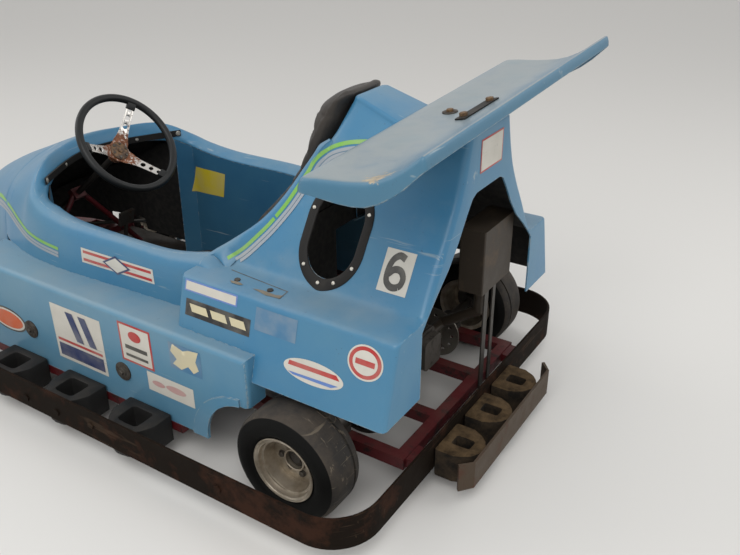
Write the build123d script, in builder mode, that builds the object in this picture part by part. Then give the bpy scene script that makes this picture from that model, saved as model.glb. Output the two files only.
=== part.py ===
"""Racing kart with a moulded body, rear wing and all-round bumper band.

Millimetres, +X forward, +Y to the driver's left, +Z up.
The origin is on the ground under the middle of the kart's bounding box.
"""
import os
from math import cos, radians, sin

from build123d import *

os.makedirs("parts", exist_ok=True)
made = []


def keep(builder, label):
    """Name a finished sub-part and remember it for export."""
    builder.part.label = label
    made.append(builder.part)


# Layout
rear_axle_x = -730.0
wheelbase = 1380.0
front_axle_x = rear_axle_x + wheelbase
skin = 4.0
seat_gap = 0.3
run_gap = 0.05

# Wheels
rear_tyre_r = 143.0
rear_tyre_w = 124.0
rear_rim_w = 112.0
rear_lip_r = 84.0
rear_rim_face_y = 505.0
front_tyre_r = 130.0
front_tyre_w = 104.0
front_rim_w = 92.0
front_lip_r = 76.0
front_rim_face_y = 496.0
lip_t = 4.0
bead_drop = 8.0
rim_wall = 5.0
rim_dish = 50.0
rim_disc_t = 6.0
axle_r = 12.7
hub_bore_r = 24.0
spindle_r = 9.5
bolt_circle_r = 38.0
wheel_bolt_r = 5.0

# Frame tubes
tube = 30.0
frame_top = 122.0
frame_half_w = 306.0
frame_rear_x = rear_axle_x - 199.0
frame_front_x = rear_axle_x + 1560.0
engine_rail_y = 110.0
engine_rail_front_x = rear_axle_x + 330.0
out_tube = 25.0
out_rail_top = 97.0
out_rail_l = 760.0
out_rail_x = rear_axle_x + 735.0
rail_y = frame_half_w - tube / 2
rail_z = frame_top - tube / 2

# Bumper band
band_t = 6.0
band_h = 85.0
band_bottom = 60.0
band_half_w = 591.0
band_rear_x = rear_axle_x - 237.0
band_front_x = rear_axle_x + 1697.0
band_corner = 120.0
bracket_w = 60.0
bracket_h = 24.0
bracket_y = frame_half_w - 40.0

# Rubber blocks and their outer plates
rubber_h = 78.0
rubber_bottom = 42.0
rubber_depth = 102.0
rubber_w = 120.0
rubber_pitch = 155.0
rubber_shift = 15.0
rubber_back = 25.0
rubber_hole_l = 47.0
rubber_hole_w = 34.0
side_rubber_w = 150.0
side_depth = 120.0
side_hole_l = 60.0
side_hole_w = 70.0
out_rail_y = band_half_w - band_t - side_depth - out_tube / 2
plate_t = 6.0
plate_h = 75.0
plate_bottom = 48.0
plate_half_l = 225.0
plate_bend = 26.0

# Body
pod_overhang = 10.5
pod_y = out_rail_y + pod_overhang
pod_rear_x = rear_axle_x + 125.0
pod_front_x = rear_axle_x + 1160.0
ledge_z = 367.0
ledge_lap = 14.0
pod_edge_r = 14.0
arch_foot_x = rear_axle_x + 262.0
arch_top_z = 235.0
rib_w = 20.0
rib_t = 5.0
box_front = 360.0
box_front_x = rear_axle_x + box_front
rear_face_x = rear_axle_x - 232.0
shelf_z = 492.0
shelf_half_w = 396.0
fender_half_w = 445.0
fender_bottom = 302.0
box_edge_r = 13.0
shelf_hole_x = (136.0, 234.0)
shelf_hole_y = 345.0
shelf_hole_r = 4.5
window_x = rear_axle_x + 42.0
window_z = 604.0
window_w = 133.0
window_h = 192.0
trim_w = 20.0
trim_t = 2.5

# Steering
wheel_hub_x = rear_axle_x + 954.0
wheel_hub_z = 605.5
column_tilt = 38.0
steer_rim_r = 151.0
steer_grip_r = 10.0
steer_dish = 62.0
kingpin_in = 39.0
kingpin_y = frame_half_w + kingpin_in
kingpin_r = 7.0
knuckle_arm = 90.0
pitman_arm = 45.0

# Frame: two side rails, cross-members, engine rails and the stubs that hold the bumper band
cross_members = (frame_rear_x + tube / 2, engine_rail_front_x, rear_axle_x + 760.0, rear_axle_x + 1100.0,
                 frame_front_x - tube / 2)
with BuildPart() as frame:
    for side in (-1, 1):
        with Locations(((frame_rear_x + frame_front_x) / 2, side * rail_y, rail_z)):
            Box(frame_front_x - frame_rear_x, tube, tube)
        with Locations(((frame_rear_x + engine_rail_front_x) / 2, side * engine_rail_y, rail_z)):
            Box(engine_rail_front_x - frame_rear_x, tube, tube)
        for frame_x, band_x in ((frame_rear_x, band_rear_x + band_t), (frame_front_x, band_front_x - band_t)):
            with Locations(((frame_x + band_x) / 2, side * bracket_y, rail_z)):
                Box(abs(band_x - frame_x), bracket_w, bracket_h)
    for x in cross_members:
        with Locations((x, 0, rail_z)):
            Box(tube, 2 * frame_half_w, tube)
keep(frame, "frame")

# Outrigger rails that carry the pods and back the side rubbers
outrigger_x = (400.0, 735.0, 1070.0)
with BuildPart() as out_rails:
    for side in (-1, 1):
        with Locations((out_rail_x, side * out_rail_y, out_rail_top - out_tube / 2)):
            Box(out_rail_l, out_tube, out_tube)
        stub = out_rail_y - frame_half_w
        for x in outrigger_x:
            with Locations((rear_axle_x + x, side * (frame_half_w + stub / 2), out_rail_top - out_tube / 2)):
                Box(out_tube, stub, out_tube)
keep(out_rails, "out_rails")

# Front axle beam: a tube between two yokes, with the kingpins pressed through the yokes
yoke_gap = 56.0
yoke_t = 8.0
yoke_l = 46.0
yoke_w = 34.0
yoke_reach = 30.0
beam_tube = 26.0
pin_head_r = 11.0
pin_head_t = 8.0
front_axle_z = front_tyre_r
with BuildPart() as front_beam:
    with Locations((front_axle_x, 0, frame_top + beam_tube / 2)):
        Box(beam_tube, 2 * (kingpin_y - yoke_reach), beam_tube)
    for side in (-1, 1):
        for level in (-1, 1):
            z = front_axle_z + level * (yoke_gap + yoke_t) / 2
            with Locations((front_axle_x, side * (kingpin_y - 8.0), z)):
                Box(yoke_w, yoke_l, yoke_t)
        with Locations((front_axle_x, side * (kingpin_y - yoke_reach - 2.0), front_axle_z)):
            Box(yoke_w, 8.0, yoke_gap + 2 * yoke_t)
        with Locations((front_axle_x, side * kingpin_y, front_axle_z)):
            Cylinder(kingpin_r, yoke_gap + 2 * yoke_t)
        with Locations((front_axle_x, side * kingpin_y, front_axle_z + yoke_gap / 2 + yoke_t + pin_head_t / 2)):
            Cylinder(pin_head_r, pin_head_t)
keep(front_beam, "front_beam")

# Knuckles: barrel on the kingpin, spindle to the wheel and a steering arm to the rear
barrel_r = 13.0
barrel_h = yoke_gap - 1.0
spindle_in = 11.0
spindle_l = front_rim_face_y - spindle_in - kingpin_y
arm_w = 20.0
arm_t = 8.0
arm_eye_r = 12.0
arm_z = front_axle_z + 6.0
stud_r = 5.0
for side, word in ((1, "left"), (-1, "right")):
    with BuildPart() as knuckle:
        with Locations((front_axle_x, side * kingpin_y, front_axle_z)):
            Cylinder(barrel_r, barrel_h)
        with Locations((front_axle_x, side * (kingpin_y + spindle_l / 2), front_axle_z)):
            Cylinder(spindle_r, spindle_l, rotation=(90, 0, 0))
        with Locations((front_axle_x - knuckle_arm / 2, side * kingpin_y, arm_z)):
            Box(knuckle_arm, arm_w, arm_t)
        with Locations((front_axle_x - knuckle_arm, side * kingpin_y, arm_z)):
            Cylinder(arm_eye_r, arm_t)
            Cylinder(stud_r + run_gap, 3 * arm_t, mode=Mode.SUBTRACT)
        with Locations((front_axle_x, side * kingpin_y, front_axle_z)):
            Cylinder(kingpin_r + run_gap, 2 * yoke_gap, mode=Mode.SUBTRACT)
    keep(knuckle, "knuckle_" + word)

# Tie rods: from a stud in each steering arm up to a ball head in front of the drop arm
rod_r = 6.0
rod_eye_r = 11.0
rod_eye_h = 14.0
ball_r = 10.0
ball_clear = 5.5
ball_y = 17.0
drop_t = 6.0
drop_at = 520.0
rod_x = front_axle_x - knuckle_arm
rod_z = arm_z + arm_t / 2 + 1.0 + rod_eye_h / 2
column_axis = Vector(-cos(radians(column_tilt)), 0, sin(radians(column_tilt)))
drop_dir = Vector(-sin(radians(column_tilt)), 0, -cos(radians(column_tilt)))
hub_centre = Vector(wheel_hub_x, 0, wheel_hub_z)
drop_centre = hub_centre - column_axis * drop_at
ball_centre = drop_centre + drop_dir * pitman_arm - column_axis * (drop_t / 2 + ball_clear + ball_r)
for side, word in ((1, "left"), (-1, "right")):
    outer = Vector(rod_x, side * kingpin_y, rod_z)
    inner = Vector(ball_centre.X, side * ball_y, ball_centre.Z)
    run = inner - outer
    with BuildPart() as tie_rod:
        with BuildSketch(Plane(origin=outer, z_dir=run)):
            Circle(rod_r)
        extrude(amount=run.length)
        with Locations((outer.X, outer.Y, outer.Z)):
            Cylinder(rod_eye_r, rod_eye_h)
        with Locations((inner.X, inner.Y, inner.Z)):
            Sphere(ball_r)
        with Locations((outer.X, outer.Y, (outer.Z + arm_z - arm_t / 2) / 2)):
            Cylinder(stud_r, outer.Z - arm_z + arm_t / 2)
    keep(tie_rod, "tie_rod_" + word)

# Rear axle with a wheel flange behind each rim disc
flange_r = 46.0
flange_t = 8.0
carrier_r = 22.0
carrier_l = 34.0
flange_y = rear_rim_face_y - rim_dish - rim_disc_t
with BuildPart() as rear_axle:
    with Locations((rear_axle_x, 0, rear_tyre_r)):
        Cylinder(axle_r, 2 * (flange_y + rim_disc_t), rotation=(90, 0, 0))
    for side in (-1, 1):
        with Locations((rear_axle_x, side * (flange_y - flange_t / 2), rear_tyre_r)):
            Cylinder(flange_r, flange_t, rotation=(90, 0, 0))
        with Locations((rear_axle_x, side * (flange_y - carrier_l / 2), rear_tyre_r)):
            Cylinder(carrier_r, carrier_l, rotation=(90, 0, 0))
keep(rear_axle, "rear_axle")

# Bearing blocks that stand on the side rails and on the engine rails
bearing_l = 70.0
bearing_w = 24.0
bearing_top = 26.0
with BuildPart() as axle_bearings:
    for y in (-rail_y, rail_y):
        with Locations((rear_axle_x, y, frame_top)):
            Box(bearing_l, bearing_w, rear_tyre_r - frame_top,
                align=(Align.CENTER, Align.CENTER, Align.MIN))
        with Locations((rear_axle_x, y, rear_tyre_r)):
            Cylinder(bearing_top, bearing_w, rotation=(90, 0, 0))
            Cylinder(axle_r + run_gap, 2 * bearing_w, rotation=(90, 0, 0), mode=Mode.SUBTRACT)
        with Locations((rear_axle_x, y, frame_top - tube)):
            Box(2 * bearing_l, 2 * bearing_w, tube, align=(Align.CENTER, Align.CENTER, Align.MIN), mode=Mode.SUBTRACT)
keep(axle_bearings, "axle_bearings")

# Toothed sprocket and brake disc, clamped on the rear axle by their hubs
sprocket_r = 80.0
sprocket_t = 5.0
sprocket_y = 190.0
teeth = 40
tooth_gap_r = 4.0
disc_r = 76.0
disc_t = 5.0
disc_y = -210.0
hub_r = 26.0
hub_l = 26.0
with BuildPart() as sprocket:
    with BuildSketch(Plane(origin=(rear_axle_x, sprocket_y - sprocket_t / 2, rear_tyre_r), z_dir=(0, 1, 0))):
        Circle(sprocket_r)
        with PolarLocations(sprocket_r, teeth):
            Circle(tooth_gap_r, mode=Mode.SUBTRACT)
        with PolarLocations(sprocket_r * 0.62, 5):
            Circle(sprocket_r * 0.16, mode=Mode.SUBTRACT)
    extrude(amount=sprocket_t)
    with Locations((rear_axle_x, sprocket_y, rear_tyre_r)):
        Cylinder(hub_r, hub_l, rotation=(90, 0, 0))
        Cylinder(axle_r + run_gap, 2 * hub_l, rotation=(90, 0, 0), mode=Mode.SUBTRACT)
keep(sprocket, "sprocket")

with BuildPart() as brake_disc:
    with BuildSketch(Plane(origin=(rear_axle_x, disc_y - disc_t / 2, rear_tyre_r), z_dir=(0, 1, 0))):
        Circle(disc_r)
        with PolarLocations(disc_r * 0.72, 12):
            Circle(5.0, mode=Mode.SUBTRACT)
    extrude(amount=disc_t)
    with Locations((rear_axle_x, disc_y, rear_tyre_r)):
        Cylinder(hub_r, hub_l, rotation=(90, 0, 0))
        Cylinder(axle_r + run_gap, 2 * hub_l, rotation=(90, 0, 0), mode=Mode.SUBTRACT)
keep(brake_disc, "brake_disc")

# Rims and slick tyres. The rear rims bolt to the axle flanges, the front rims turn on the spindles
wheel_sets = (
    # name, x, axle height, outer face y, rim width, lip radius, tyre radius, tyre width, bore radius, sides
    ("rear", rear_axle_x, rear_tyre_r, rear_rim_face_y, rear_rim_w, rear_lip_r, rear_tyre_r, rear_tyre_w,
     hub_bore_r, (-1, 1)),
    ("front_left", front_axle_x, front_axle_z, front_rim_face_y, front_rim_w, front_lip_r, front_tyre_r,
     front_tyre_w, spindle_r + run_gap, (1,)),
    ("front_right", front_axle_x, front_axle_z, front_rim_face_y, front_rim_w, front_lip_r, front_tyre_r,
     front_tyre_w, spindle_r + run_gap, (-1,)),
)
step_in = 9.0
step_w = 14.0
groove_w = 6.0
groove_d = 4.0
for name, x, z, face_y, rim_w, lip_r, tyre_r, tyre_w, bore_r, sides in wheel_sets:
    seat_r = lip_r - bead_drop
    well_r = seat_r - rim_wall
    with BuildPart() as rim:
        for side in sides:
            outline = (
                # distance in from the outer face, radius
                (0.0, lip_r), (lip_t, lip_r), (lip_t, seat_r), (rim_w - lip_t, seat_r), (rim_w - lip_t, lip_r),
                (rim_w, lip_r), (rim_w, well_r), (rim_dish + rim_disc_t, well_r - step_in),
                (rim_dish + rim_disc_t, bore_r), (rim_dish, bore_r), (rim_dish, well_r - step_in),
                (step_w, well_r - step_in / 2), (step_w, well_r), (0.0, well_r + 2.0),
            )
            with BuildSketch(Plane(origin=(x, 0, z), x_dir=(0, 1, 0), z_dir=(1, 0, 0))):
                with BuildLine():
                    Polyline(*[(side * (face_y - depth), radius) for depth, radius in outline], close=True)
                make_face()
            revolve(axis=Axis((x, 0, z), (0, 1, 0)))
            disc_plane = Plane(origin=(x, side * (face_y - rim_dish + 1.0), z), x_dir=(1, 0, 0), z_dir=(0, -side, 0))
            with BuildSketch(disc_plane):
                with PolarLocations(bolt_circle_r, 6):
                    Circle(wheel_bolt_r)
            extrude(amount=rim_disc_t + 2.0, mode=Mode.SUBTRACT)
            if bore_r < hub_bore_r:
                with Locations((x, side * (face_y - rim_dish - rim_disc_t / 2), z)):
                    Cylinder(hub_bore_r, 3 * rim_disc_t, rotation=(90, 0, 0))
                    Cylinder(bore_r, 4 * rim_disc_t, rotation=(90, 0, 0), mode=Mode.SUBTRACT)
    keep(rim, "rim_" + name)
    bead = rim_w / 2 - lip_t - seat_gap
    half = tyre_w / 2
    with BuildPart() as tyre:
        for side in sides:
            mid_y = side * (face_y - rim_w / 2)
            groove_y = mid_y - side * half * 0.42
            with BuildSketch(Plane(origin=(x, mid_y, z), x_dir=(0, 1, 0), z_dir=(1, 0, 0))):
                with BuildLine():
                    foot = Line((-bead, seat_r + seat_gap), (bead, seat_r + seat_gap))
                    Line(foot @ 1, (bead, lip_r + 1.5))
                    ThreePointArc((bead, lip_r + 1.5), (half, (lip_r + tyre_r) / 2), (half - 6.0, tyre_r - 16.0))
                    ThreePointArc((half - 6.0, tyre_r - 16.0), (half - 12.0, tyre_r - 6.0), (half - 26.0, tyre_r))
                    Line((half - 26.0, tyre_r), (-half + 26.0, tyre_r))
                    ThreePointArc((-half + 26.0, tyre_r), (-half + 12.0, tyre_r - 6.0), (-half + 6.0, tyre_r - 16.0))
                    ThreePointArc((-half + 6.0, tyre_r - 16.0), (-half, (lip_r + tyre_r) / 2), (-bead, lip_r + 1.5))
                    Line((-bead, lip_r + 1.5), foot @ 0)
                make_face()
                with Locations((groove_y - mid_y, tyre_r)):
                    Rectangle(groove_w, 2 * groove_d, mode=Mode.SUBTRACT)
            revolve(axis=Axis((x, 0, z), (0, 1, 0)))
    keep(tyre, "tyre_" + name)

# Bumper band: one flat steel strip bent round the whole kart
with BuildPart() as bumper_band:
    with BuildSketch(Plane.XY.offset(band_bottom)):
        with Locations(((band_rear_x + band_front_x) / 2, 0)):
            RectangleRounded(band_front_x - band_rear_x, 2 * band_half_w, band_corner)
            RectangleRounded(
                band_front_x - band_rear_x - 2 * band_t, 2 * (band_half_w - band_t), band_corner - band_t,
                mode=Mode.SUBTRACT,
            )
    extrude(amount=band_h)
keep(bumper_band, "bumper_band")

# Hollow rubber blocks: flat back, round nose, one hole from top to bottom
side_rubber_x = (460.0, 700.0, 940.0)
rubber_groups = {
    # label: back face x, y, direction of the nose in degrees, depth, width, hole length, hole width
    "side_rubbers": [(rear_axle_x + x, side * (out_rail_y + out_tube / 2), 90.0 * side, side_depth, side_rubber_w,
                      side_hole_l, side_hole_w) for side in (1, -1) for x in side_rubber_x],
    "end_rubbers": [(x, n * rubber_pitch + rubber_shift, turn, rubber_depth, rubber_w, rubber_hole_l, rubber_hole_w)
                    for x, turn in ((band_rear_x, 180.0), (band_front_x, 0.0)) for n in (-1, 0, 1)],
}
for label, places in rubber_groups.items():
    with BuildPart() as rubbers:
        for x, y, turn, depth, width, hole_l, hole_w in places:
            back = Plane(origin=(x, y, rubber_bottom), x_dir=(cos(radians(turn)), sin(radians(turn)), 0),
                         z_dir=(0, 0, 1))
            with BuildSketch(back) as d_shape:
                with BuildLine():
                    Line((0, -width / 2), (0, width / 2))
                    Line((0, width / 2), (depth * 0.45, width / 2))
                    ThreePointArc((depth * 0.45, width / 2), (depth, 0), (depth * 0.45, -width / 2))
                    Line((depth * 0.45, -width / 2), (0, -width / 2))
                make_face()
                with Locations((rubber_back + hole_l / 2, 0)):
                    RectangleRounded(hole_l, hole_w, 6.0, mode=Mode.SUBTRACT)
            extrude(amount=rubber_h)
    keep(rubbers, label)

# Outer plates over the end rubbers, bent inward at their ends
with BuildPart() as end_plates:
    for face_x, sign in ((band_rear_x, -1), (band_front_x, 1)):
        x0 = face_x + sign * rubber_depth
        x1 = x0 + sign * plate_t
        bend_x = sign * plate_bend
        with BuildSketch(Plane.XY.offset(plate_bottom)):
            with Locations((0, rubber_shift)):
                with BuildLine():
                    Polyline(
                        (x0, -plate_half_l), (x0 - bend_x, -plate_half_l - plate_bend),
                        (x1 - bend_x, -plate_half_l - plate_bend - plate_t), (x1, -plate_half_l), (x1, plate_half_l),
                        (x1 - bend_x, plate_half_l + plate_bend + plate_t), (x0 - bend_x, plate_half_l + plate_bend),
                        (x0, plate_half_l), close=True,
                    )
                make_face()
        extrude(amount=plate_h)
keep(end_plates, "end_plates")

# Floor pan on the frame
floor_t = 2.0
floor_rear_x = engine_rail_front_x + tube / 2
floor_front_x = front_axle_x - 20.0
with BuildPart() as floor_pan:
    with Locations(((floor_rear_x + floor_front_x) / 2, 0, frame_top + floor_t / 2)):
        Box(floor_front_x - floor_rear_x, 2 * frame_half_w - 4.0, floor_t)
keep(floor_pan, "floor_pan")

# Front body: nose and cockpit surround, lofted from outside and inside sections
body_sections = (
    # x from the rear axle, foot y, foot z, shoulder y, shoulder z, rim y, rim z, crown z
    (box_front + seat_gap, 350.0, ledge_z, 345.0, 500.0, 322.0, 519.0, 520.0),
    (600.0, 362.0, ledge_z, 354.0, 503.0, 330.0, 522.0, 523.0),
    (830.0, 377.0, ledge_z, 356.0, 508.0, 330.0, 529.0, 531.0),
    (1000.0, 368.0, ledge_z, 330.0, 520.0, 290.0, 548.0, 556.0),
    (1160.0, 343.0, ledge_z, 286.0, 503.0, 218.0, 556.0, 578.0),
    (1176.0, 311.0, 240.0, 278.0, 490.0, 208.0, 552.0, 577.0),
    (1300.0, 290.0, 230.0, 246.0, 430.0, 162.0, 510.0, 538.0),
    (1440.0, 266.0, 202.0, 214.0, 372.0, 135.0, 455.0, 488.0),
    (1560.0, 232.0, 176.0, 178.0, 310.0, 108.0, 392.0, 426.0),
    (1640.0, 190.0, 155.0, 142.0, 246.0, 84.0, 318.0, 344.0),
    (1680.0, 142.0, 150.0, 104.0, 196.0, 62.0, 236.0, 250.0),
)


def body_section(row, inset, drop):
    """Closed section through the front body, moved inward by inset and lowered at the foot by drop."""
    foot_y, foot_z, shoulder_y, shoulder_z, rim_half, rim_z, crown_z = row[1:]
    half = [
        (foot_y - inset, foot_z - drop),
        (shoulder_y - inset, shoulder_z - inset * 0.4),
        (rim_half - inset * 0.4, rim_z - inset),
    ]
    return half + [(0.0, crown_z - inset)] + [(-y, z) for y, z in reversed(half)]


cockpit_outline = (
    # x from the rear axle, half width of the cockpit opening
    (300.0, 240.0), (366.0, 255.0), (420.0, 292.0), (500.0, 318.0), (620.0, 326.0), (760.0, 324.0),
    (880.0, 306.0), (1000.0, 262.0), (1090.0, 200.0), (1150.0, 130.0), (1172.0, 0.0),
)
with BuildPart() as body_front:
    for row in body_sections:
        with BuildSketch(Plane(origin=(rear_axle_x + row[0], 0, 0), x_dir=(0, 1, 0), z_dir=(1, 0, 0))):
            with BuildLine():
                Polyline(*body_section(row, 0.0, 0.0), close=True)
            make_face()
    loft(ruled=True)
    last = len(body_sections) - 1
    for index, row in enumerate(body_sections):
        x = row[0] - 5.0 if index == 0 else row[0]
        x = x - skin if index == last else x
        with BuildSketch(Plane(origin=(rear_axle_x + x, 0, 0), x_dir=(0, 1, 0), z_dir=(1, 0, 0))):
            with BuildLine():
                Polyline(*body_section(row, skin, 60.0), close=True)
            make_face()
    loft(ruled=True, mode=Mode.SUBTRACT)
    with BuildSketch(Plane.XY.offset(ledge_z + 60.0)):
        with BuildLine():
            Polyline(*[(rear_axle_x + x, y) for x, y in cockpit_outline],
                     *[(rear_axle_x + x, -y) for x, y in reversed(cockpit_outline[:-1])], close=True)
        make_face()
    extrude(amount=300.0, mode=Mode.SUBTRACT)
keep(body_front, "body_front")

# Side pods: outer wall, ledge and ends, with the wheel arch and its raised rib at the rear
pod_bottom = out_rail_top
pod_depth = 130.0
ledge_edge = [(x, 400.0) for x in (100.0, 348.0)]
ledge_edge += [(row[0], row[1] - ledge_lap) for row in body_sections if row[2] == ledge_z and row[0] > 300.0]
arch_points = ((arch_foot_x, pod_bottom), (rear_axle_x + 234.0, 188.0), (rear_axle_x + 150.0, arch_top_z))
rib_foot_x = arch_foot_x + 50.0
rib_points = ((rib_foot_x, pod_bottom), (rear_axle_x + 268.0, 200.0), (rear_axle_x + 150.0, arch_top_z + rib_w))
with BuildPart() as pod_core:
    with BuildSketch(Plane.XZ.offset(-pod_y + skin)):
        Rectangle(pod_front_x - pod_rear_x - 2 * skin, 2 * (ledge_z - skin),
                  align=(Align.MIN, Align.CENTER))
    extrude(amount=pod_depth + 1.0)
    far = pod_core.faces().sort_by(Axis.Y)[-1]
    fillet(far.edges().group_by(Axis.Z)[-1], pod_edge_r - skin)
pod_core_placed = pod_core.part.translate((pod_rear_x + skin, 0, 0))
with BuildPart() as pod_left:
    with BuildSketch(Plane.XZ.offset(-pod_y)):
        with BuildLine():
            Polyline((arch_points[2][0], arch_top_z), (pod_rear_x, arch_top_z), (pod_rear_x, ledge_z),
                     (pod_front_x, ledge_z), (pod_front_x, pod_bottom), (arch_foot_x, pod_bottom))
            ThreePointArc(*arch_points)
        make_face()
    extrude(amount=pod_depth)
    outer = pod_left.faces().sort_by(Axis.Y)[-1]
    upright = outer.edges().filter_by(Axis.Z)
    rim_edges = [outer.edges().group_by(Axis.Z)[-1][0], upright.sort_by(Axis.X)[0], upright.sort_by(Axis.X)[-1]]
    fillet(rim_edges, pod_edge_r)
    add(pod_core_placed, mode=Mode.SUBTRACT)
    with BuildSketch(Plane.XY.offset(pod_bottom - 1.0)):
        with BuildLine():
            Polyline((rear_axle_x + 100.0, pod_y - 2 * pod_depth), *[(rear_axle_x + x, y) for x, y in ledge_edge],
                     (pod_front_x + 10.0, ledge_edge[-1][1]), (pod_front_x + 10.0, pod_y - 2 * pod_depth), close=True)
        make_face()
    extrude(amount=ledge_z, mode=Mode.SUBTRACT)
    with BuildSketch(Plane.XZ.offset(-pod_y - rib_t)):
        with BuildLine():
            ThreePointArc(*rib_points)
            Line(rib_points[2], arch_points[2])
            ThreePointArc(*reversed(arch_points))
            Line(arch_points[0], rib_points[0])
        make_face()
    extrude(amount=rib_t + skin)
keep(pod_left, "body_pod_left")
with BuildPart() as pod_right:
    add(mirror(pod_left.part, about=Plane.XZ, mode=Mode.PRIVATE))
keep(pod_right, "body_pod_right")

# Side boxes over the rear wheels: flared fender wall, flat shelf, front and rear walls
cowl_sections = (
    # height, half width, front x from the rear axle
    (shelf_z, 305.0, 344.0), (530.0, 262.0, 318.0), (600.0, 218.0, 244.0), (660.0, 178.0, 203.0),
    (720.0, 144.0, 168.0), (800.0, 116.0, 125.0), (884.0, 97.0, 86.0),
)
box_inner_y = cowl_sections[0][1] - ledge_lap
rear_corner_z = fender_bottom + 27.0
with BuildPart() as side_box_left:
    for inset, cut in ((0.0, Mode.ADD), (skin, Mode.SUBTRACT)):
        with BuildSketch(Plane(origin=(rear_face_x + inset, 0, 0), x_dir=(0, 1, 0), z_dir=(1, 0, 0))):
            with BuildLine():
                Polyline((box_inner_y - inset, fender_bottom - inset), (box_inner_y - inset, shelf_z - inset),
                         (shelf_half_w - inset, shelf_z - inset), (fender_half_w - inset, fender_bottom - inset),
                         close=True)
            make_face()
        if cut == Mode.ADD:
            extrude(amount=box_front_x - rear_face_x)
            shell_edges = side_box_left.edges().filter_by(Axis.X).group_by(Axis.Z)[-1].sort_by(Axis.Y)[-1:]
            outer_wall = side_box_left.faces().sort_by(Axis.Y)[-1]
            ends = [edge for edge in outer_wall.edges() if abs(edge.tangent_at(0.5).X) < 0.5]
            fillet(shell_edges + ends, box_edge_r)
        else:
            extrude(amount=box_front_x - rear_face_x - 2 * skin, mode=Mode.SUBTRACT)
    with Locations((pod_rear_x - seat_gap, 0, fender_bottom - 1.0)):
        Box(400.0, 1000.0, ledge_z - fender_bottom + 1.0, align=(Align.MIN, Align.CENTER, Align.MIN),
            mode=Mode.SUBTRACT)
    with BuildSketch(Plane(origin=(rear_face_x - 1.0, 0, 0), x_dir=(0, 1, 0), z_dir=(1, 0, 0))):
        with BuildLine():
            Polyline((box_inner_y - 5.0, fender_bottom - 5.0), (box_inner_y - 5.0, rear_corner_z),
                     (box_inner_y + 12.0, rear_corner_z - 6.0), (fender_half_w - 20.0, fender_bottom),
                     (fender_half_w - 20.0, fender_bottom - 5.0), close=True)
        make_face()
    extrude(amount=skin + 2.0, mode=Mode.SUBTRACT)
    with Locations(*[(rear_axle_x + x, shelf_hole_y, shelf_z) for x in shelf_hole_x]):
        Cylinder(shelf_hole_r, 6 * skin, mode=Mode.SUBTRACT)
keep(side_box_left, "side_box_left")
with BuildPart() as side_box_right:
    add(mirror(side_box_left.part, about=Plane.XZ, mode=Mode.PRIVATE))
keep(side_box_right, "side_box_right")

# Cowl: tall tapering shell on the two shelves, with oval windows and an open rear
cowl_corner_r = 16.0
cowl_top = 856.0
crest_x = rear_axle_x + 90.0
crest_z = 882.0
crest_end_x = rear_axle_x - 40.0
rear_opening = (
    # half width, height
    (box_inner_y, shelf_z - 10.0), (232.0, 530.0), (140.0, 620.0), (76.0, 708.0),
)
with BuildPart() as cowl:
    for inset, cut in ((0.0, Mode.ADD), (skin, Mode.SUBTRACT)):
        for z, half, front in cowl_sections:
            low = -1.0 if inset and z == shelf_z else 0.0
            depth = rear_axle_x + front - rear_face_x
            with BuildSketch(Plane.XY.offset(z + low)):
                with Locations((rear_face_x + depth / 2, 0)):
                    RectangleRounded(depth - 2 * inset, 2 * (half - inset), cowl_corner_r - inset)
        loft(ruled=True, mode=cut)
        if cut == Mode.ADD:
            outside = cowl.part
    crest_line = ((rear_face_x - 10.0, cowl_top), (crest_end_x, cowl_top), (crest_x, crest_z),
                  (crest_x + 60.0, crest_z + 4.0))
    with BuildSketch(Plane.XZ.offset(-200.0)):
        with BuildLine():
            Polyline(*crest_line, (crest_x + 60.0, crest_z + 60.0), (rear_face_x - 10.0, crest_z + 60.0), close=True)
        make_face()
    extrude(amount=400.0, mode=Mode.SUBTRACT)
    with BuildPart(mode=Mode.PRIVATE) as cowl_lid:
        with BuildSketch(Plane.XZ.offset(-200.0)):
            with BuildLine():
                Polyline(*crest_line, *[(x, z - skin) for x, z in reversed(crest_line)], close=True)
            make_face()
        extrude(amount=400.0)
        add(outside, mode=Mode.INTERSECT)
    add(cowl_lid.part)
    with BuildSketch(Plane(origin=(rear_face_x - 5.0, 0, 0), x_dir=(0, 1, 0), z_dir=(1, 0, 0))):
        with BuildLine():
            Polyline(*rear_opening, *[(-y, z) for y, z in reversed(rear_opening)], close=True)
        make_face()
    extrude(amount=30.0, mode=Mode.SUBTRACT)
    with BuildSketch(Plane(origin=(window_x, 0, window_z), x_dir=(0, 0, 1), z_dir=(0, -1, 0))):
        SlotOverall(window_h, window_w)
    extrude(amount=400.0, both=True, mode=Mode.SUBTRACT)
keep(cowl, "cowl")

# Window trims: black rings lying on the sloping cowl sides
with BuildPart() as window_trims:
    for grow, cut in ((trim_t, Mode.ADD), (0.0, Mode.SUBTRACT)):
        for z, half, front in cowl_sections:
            depth = rear_axle_x + front - rear_face_x
            with BuildSketch(Plane.XY.offset(z)):
                with Locations((rear_face_x + depth / 2, 0)):
                    Rectangle(depth, 2 * (half + grow))
        loft(ruled=True, mode=cut)
    with BuildSketch(Plane(origin=(window_x, 0, window_z), x_dir=(0, 0, 1), z_dir=(0, -1, 0))):
        SlotOverall(window_h + 2 * trim_w - 14.0, window_w + 2 * trim_w)
        SlotOverall(window_h, window_w, mode=Mode.SUBTRACT)
    extrude(amount=400.0, both=True, mode=Mode.INTERSECT)
keep(window_trims, "window_trims")

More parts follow.
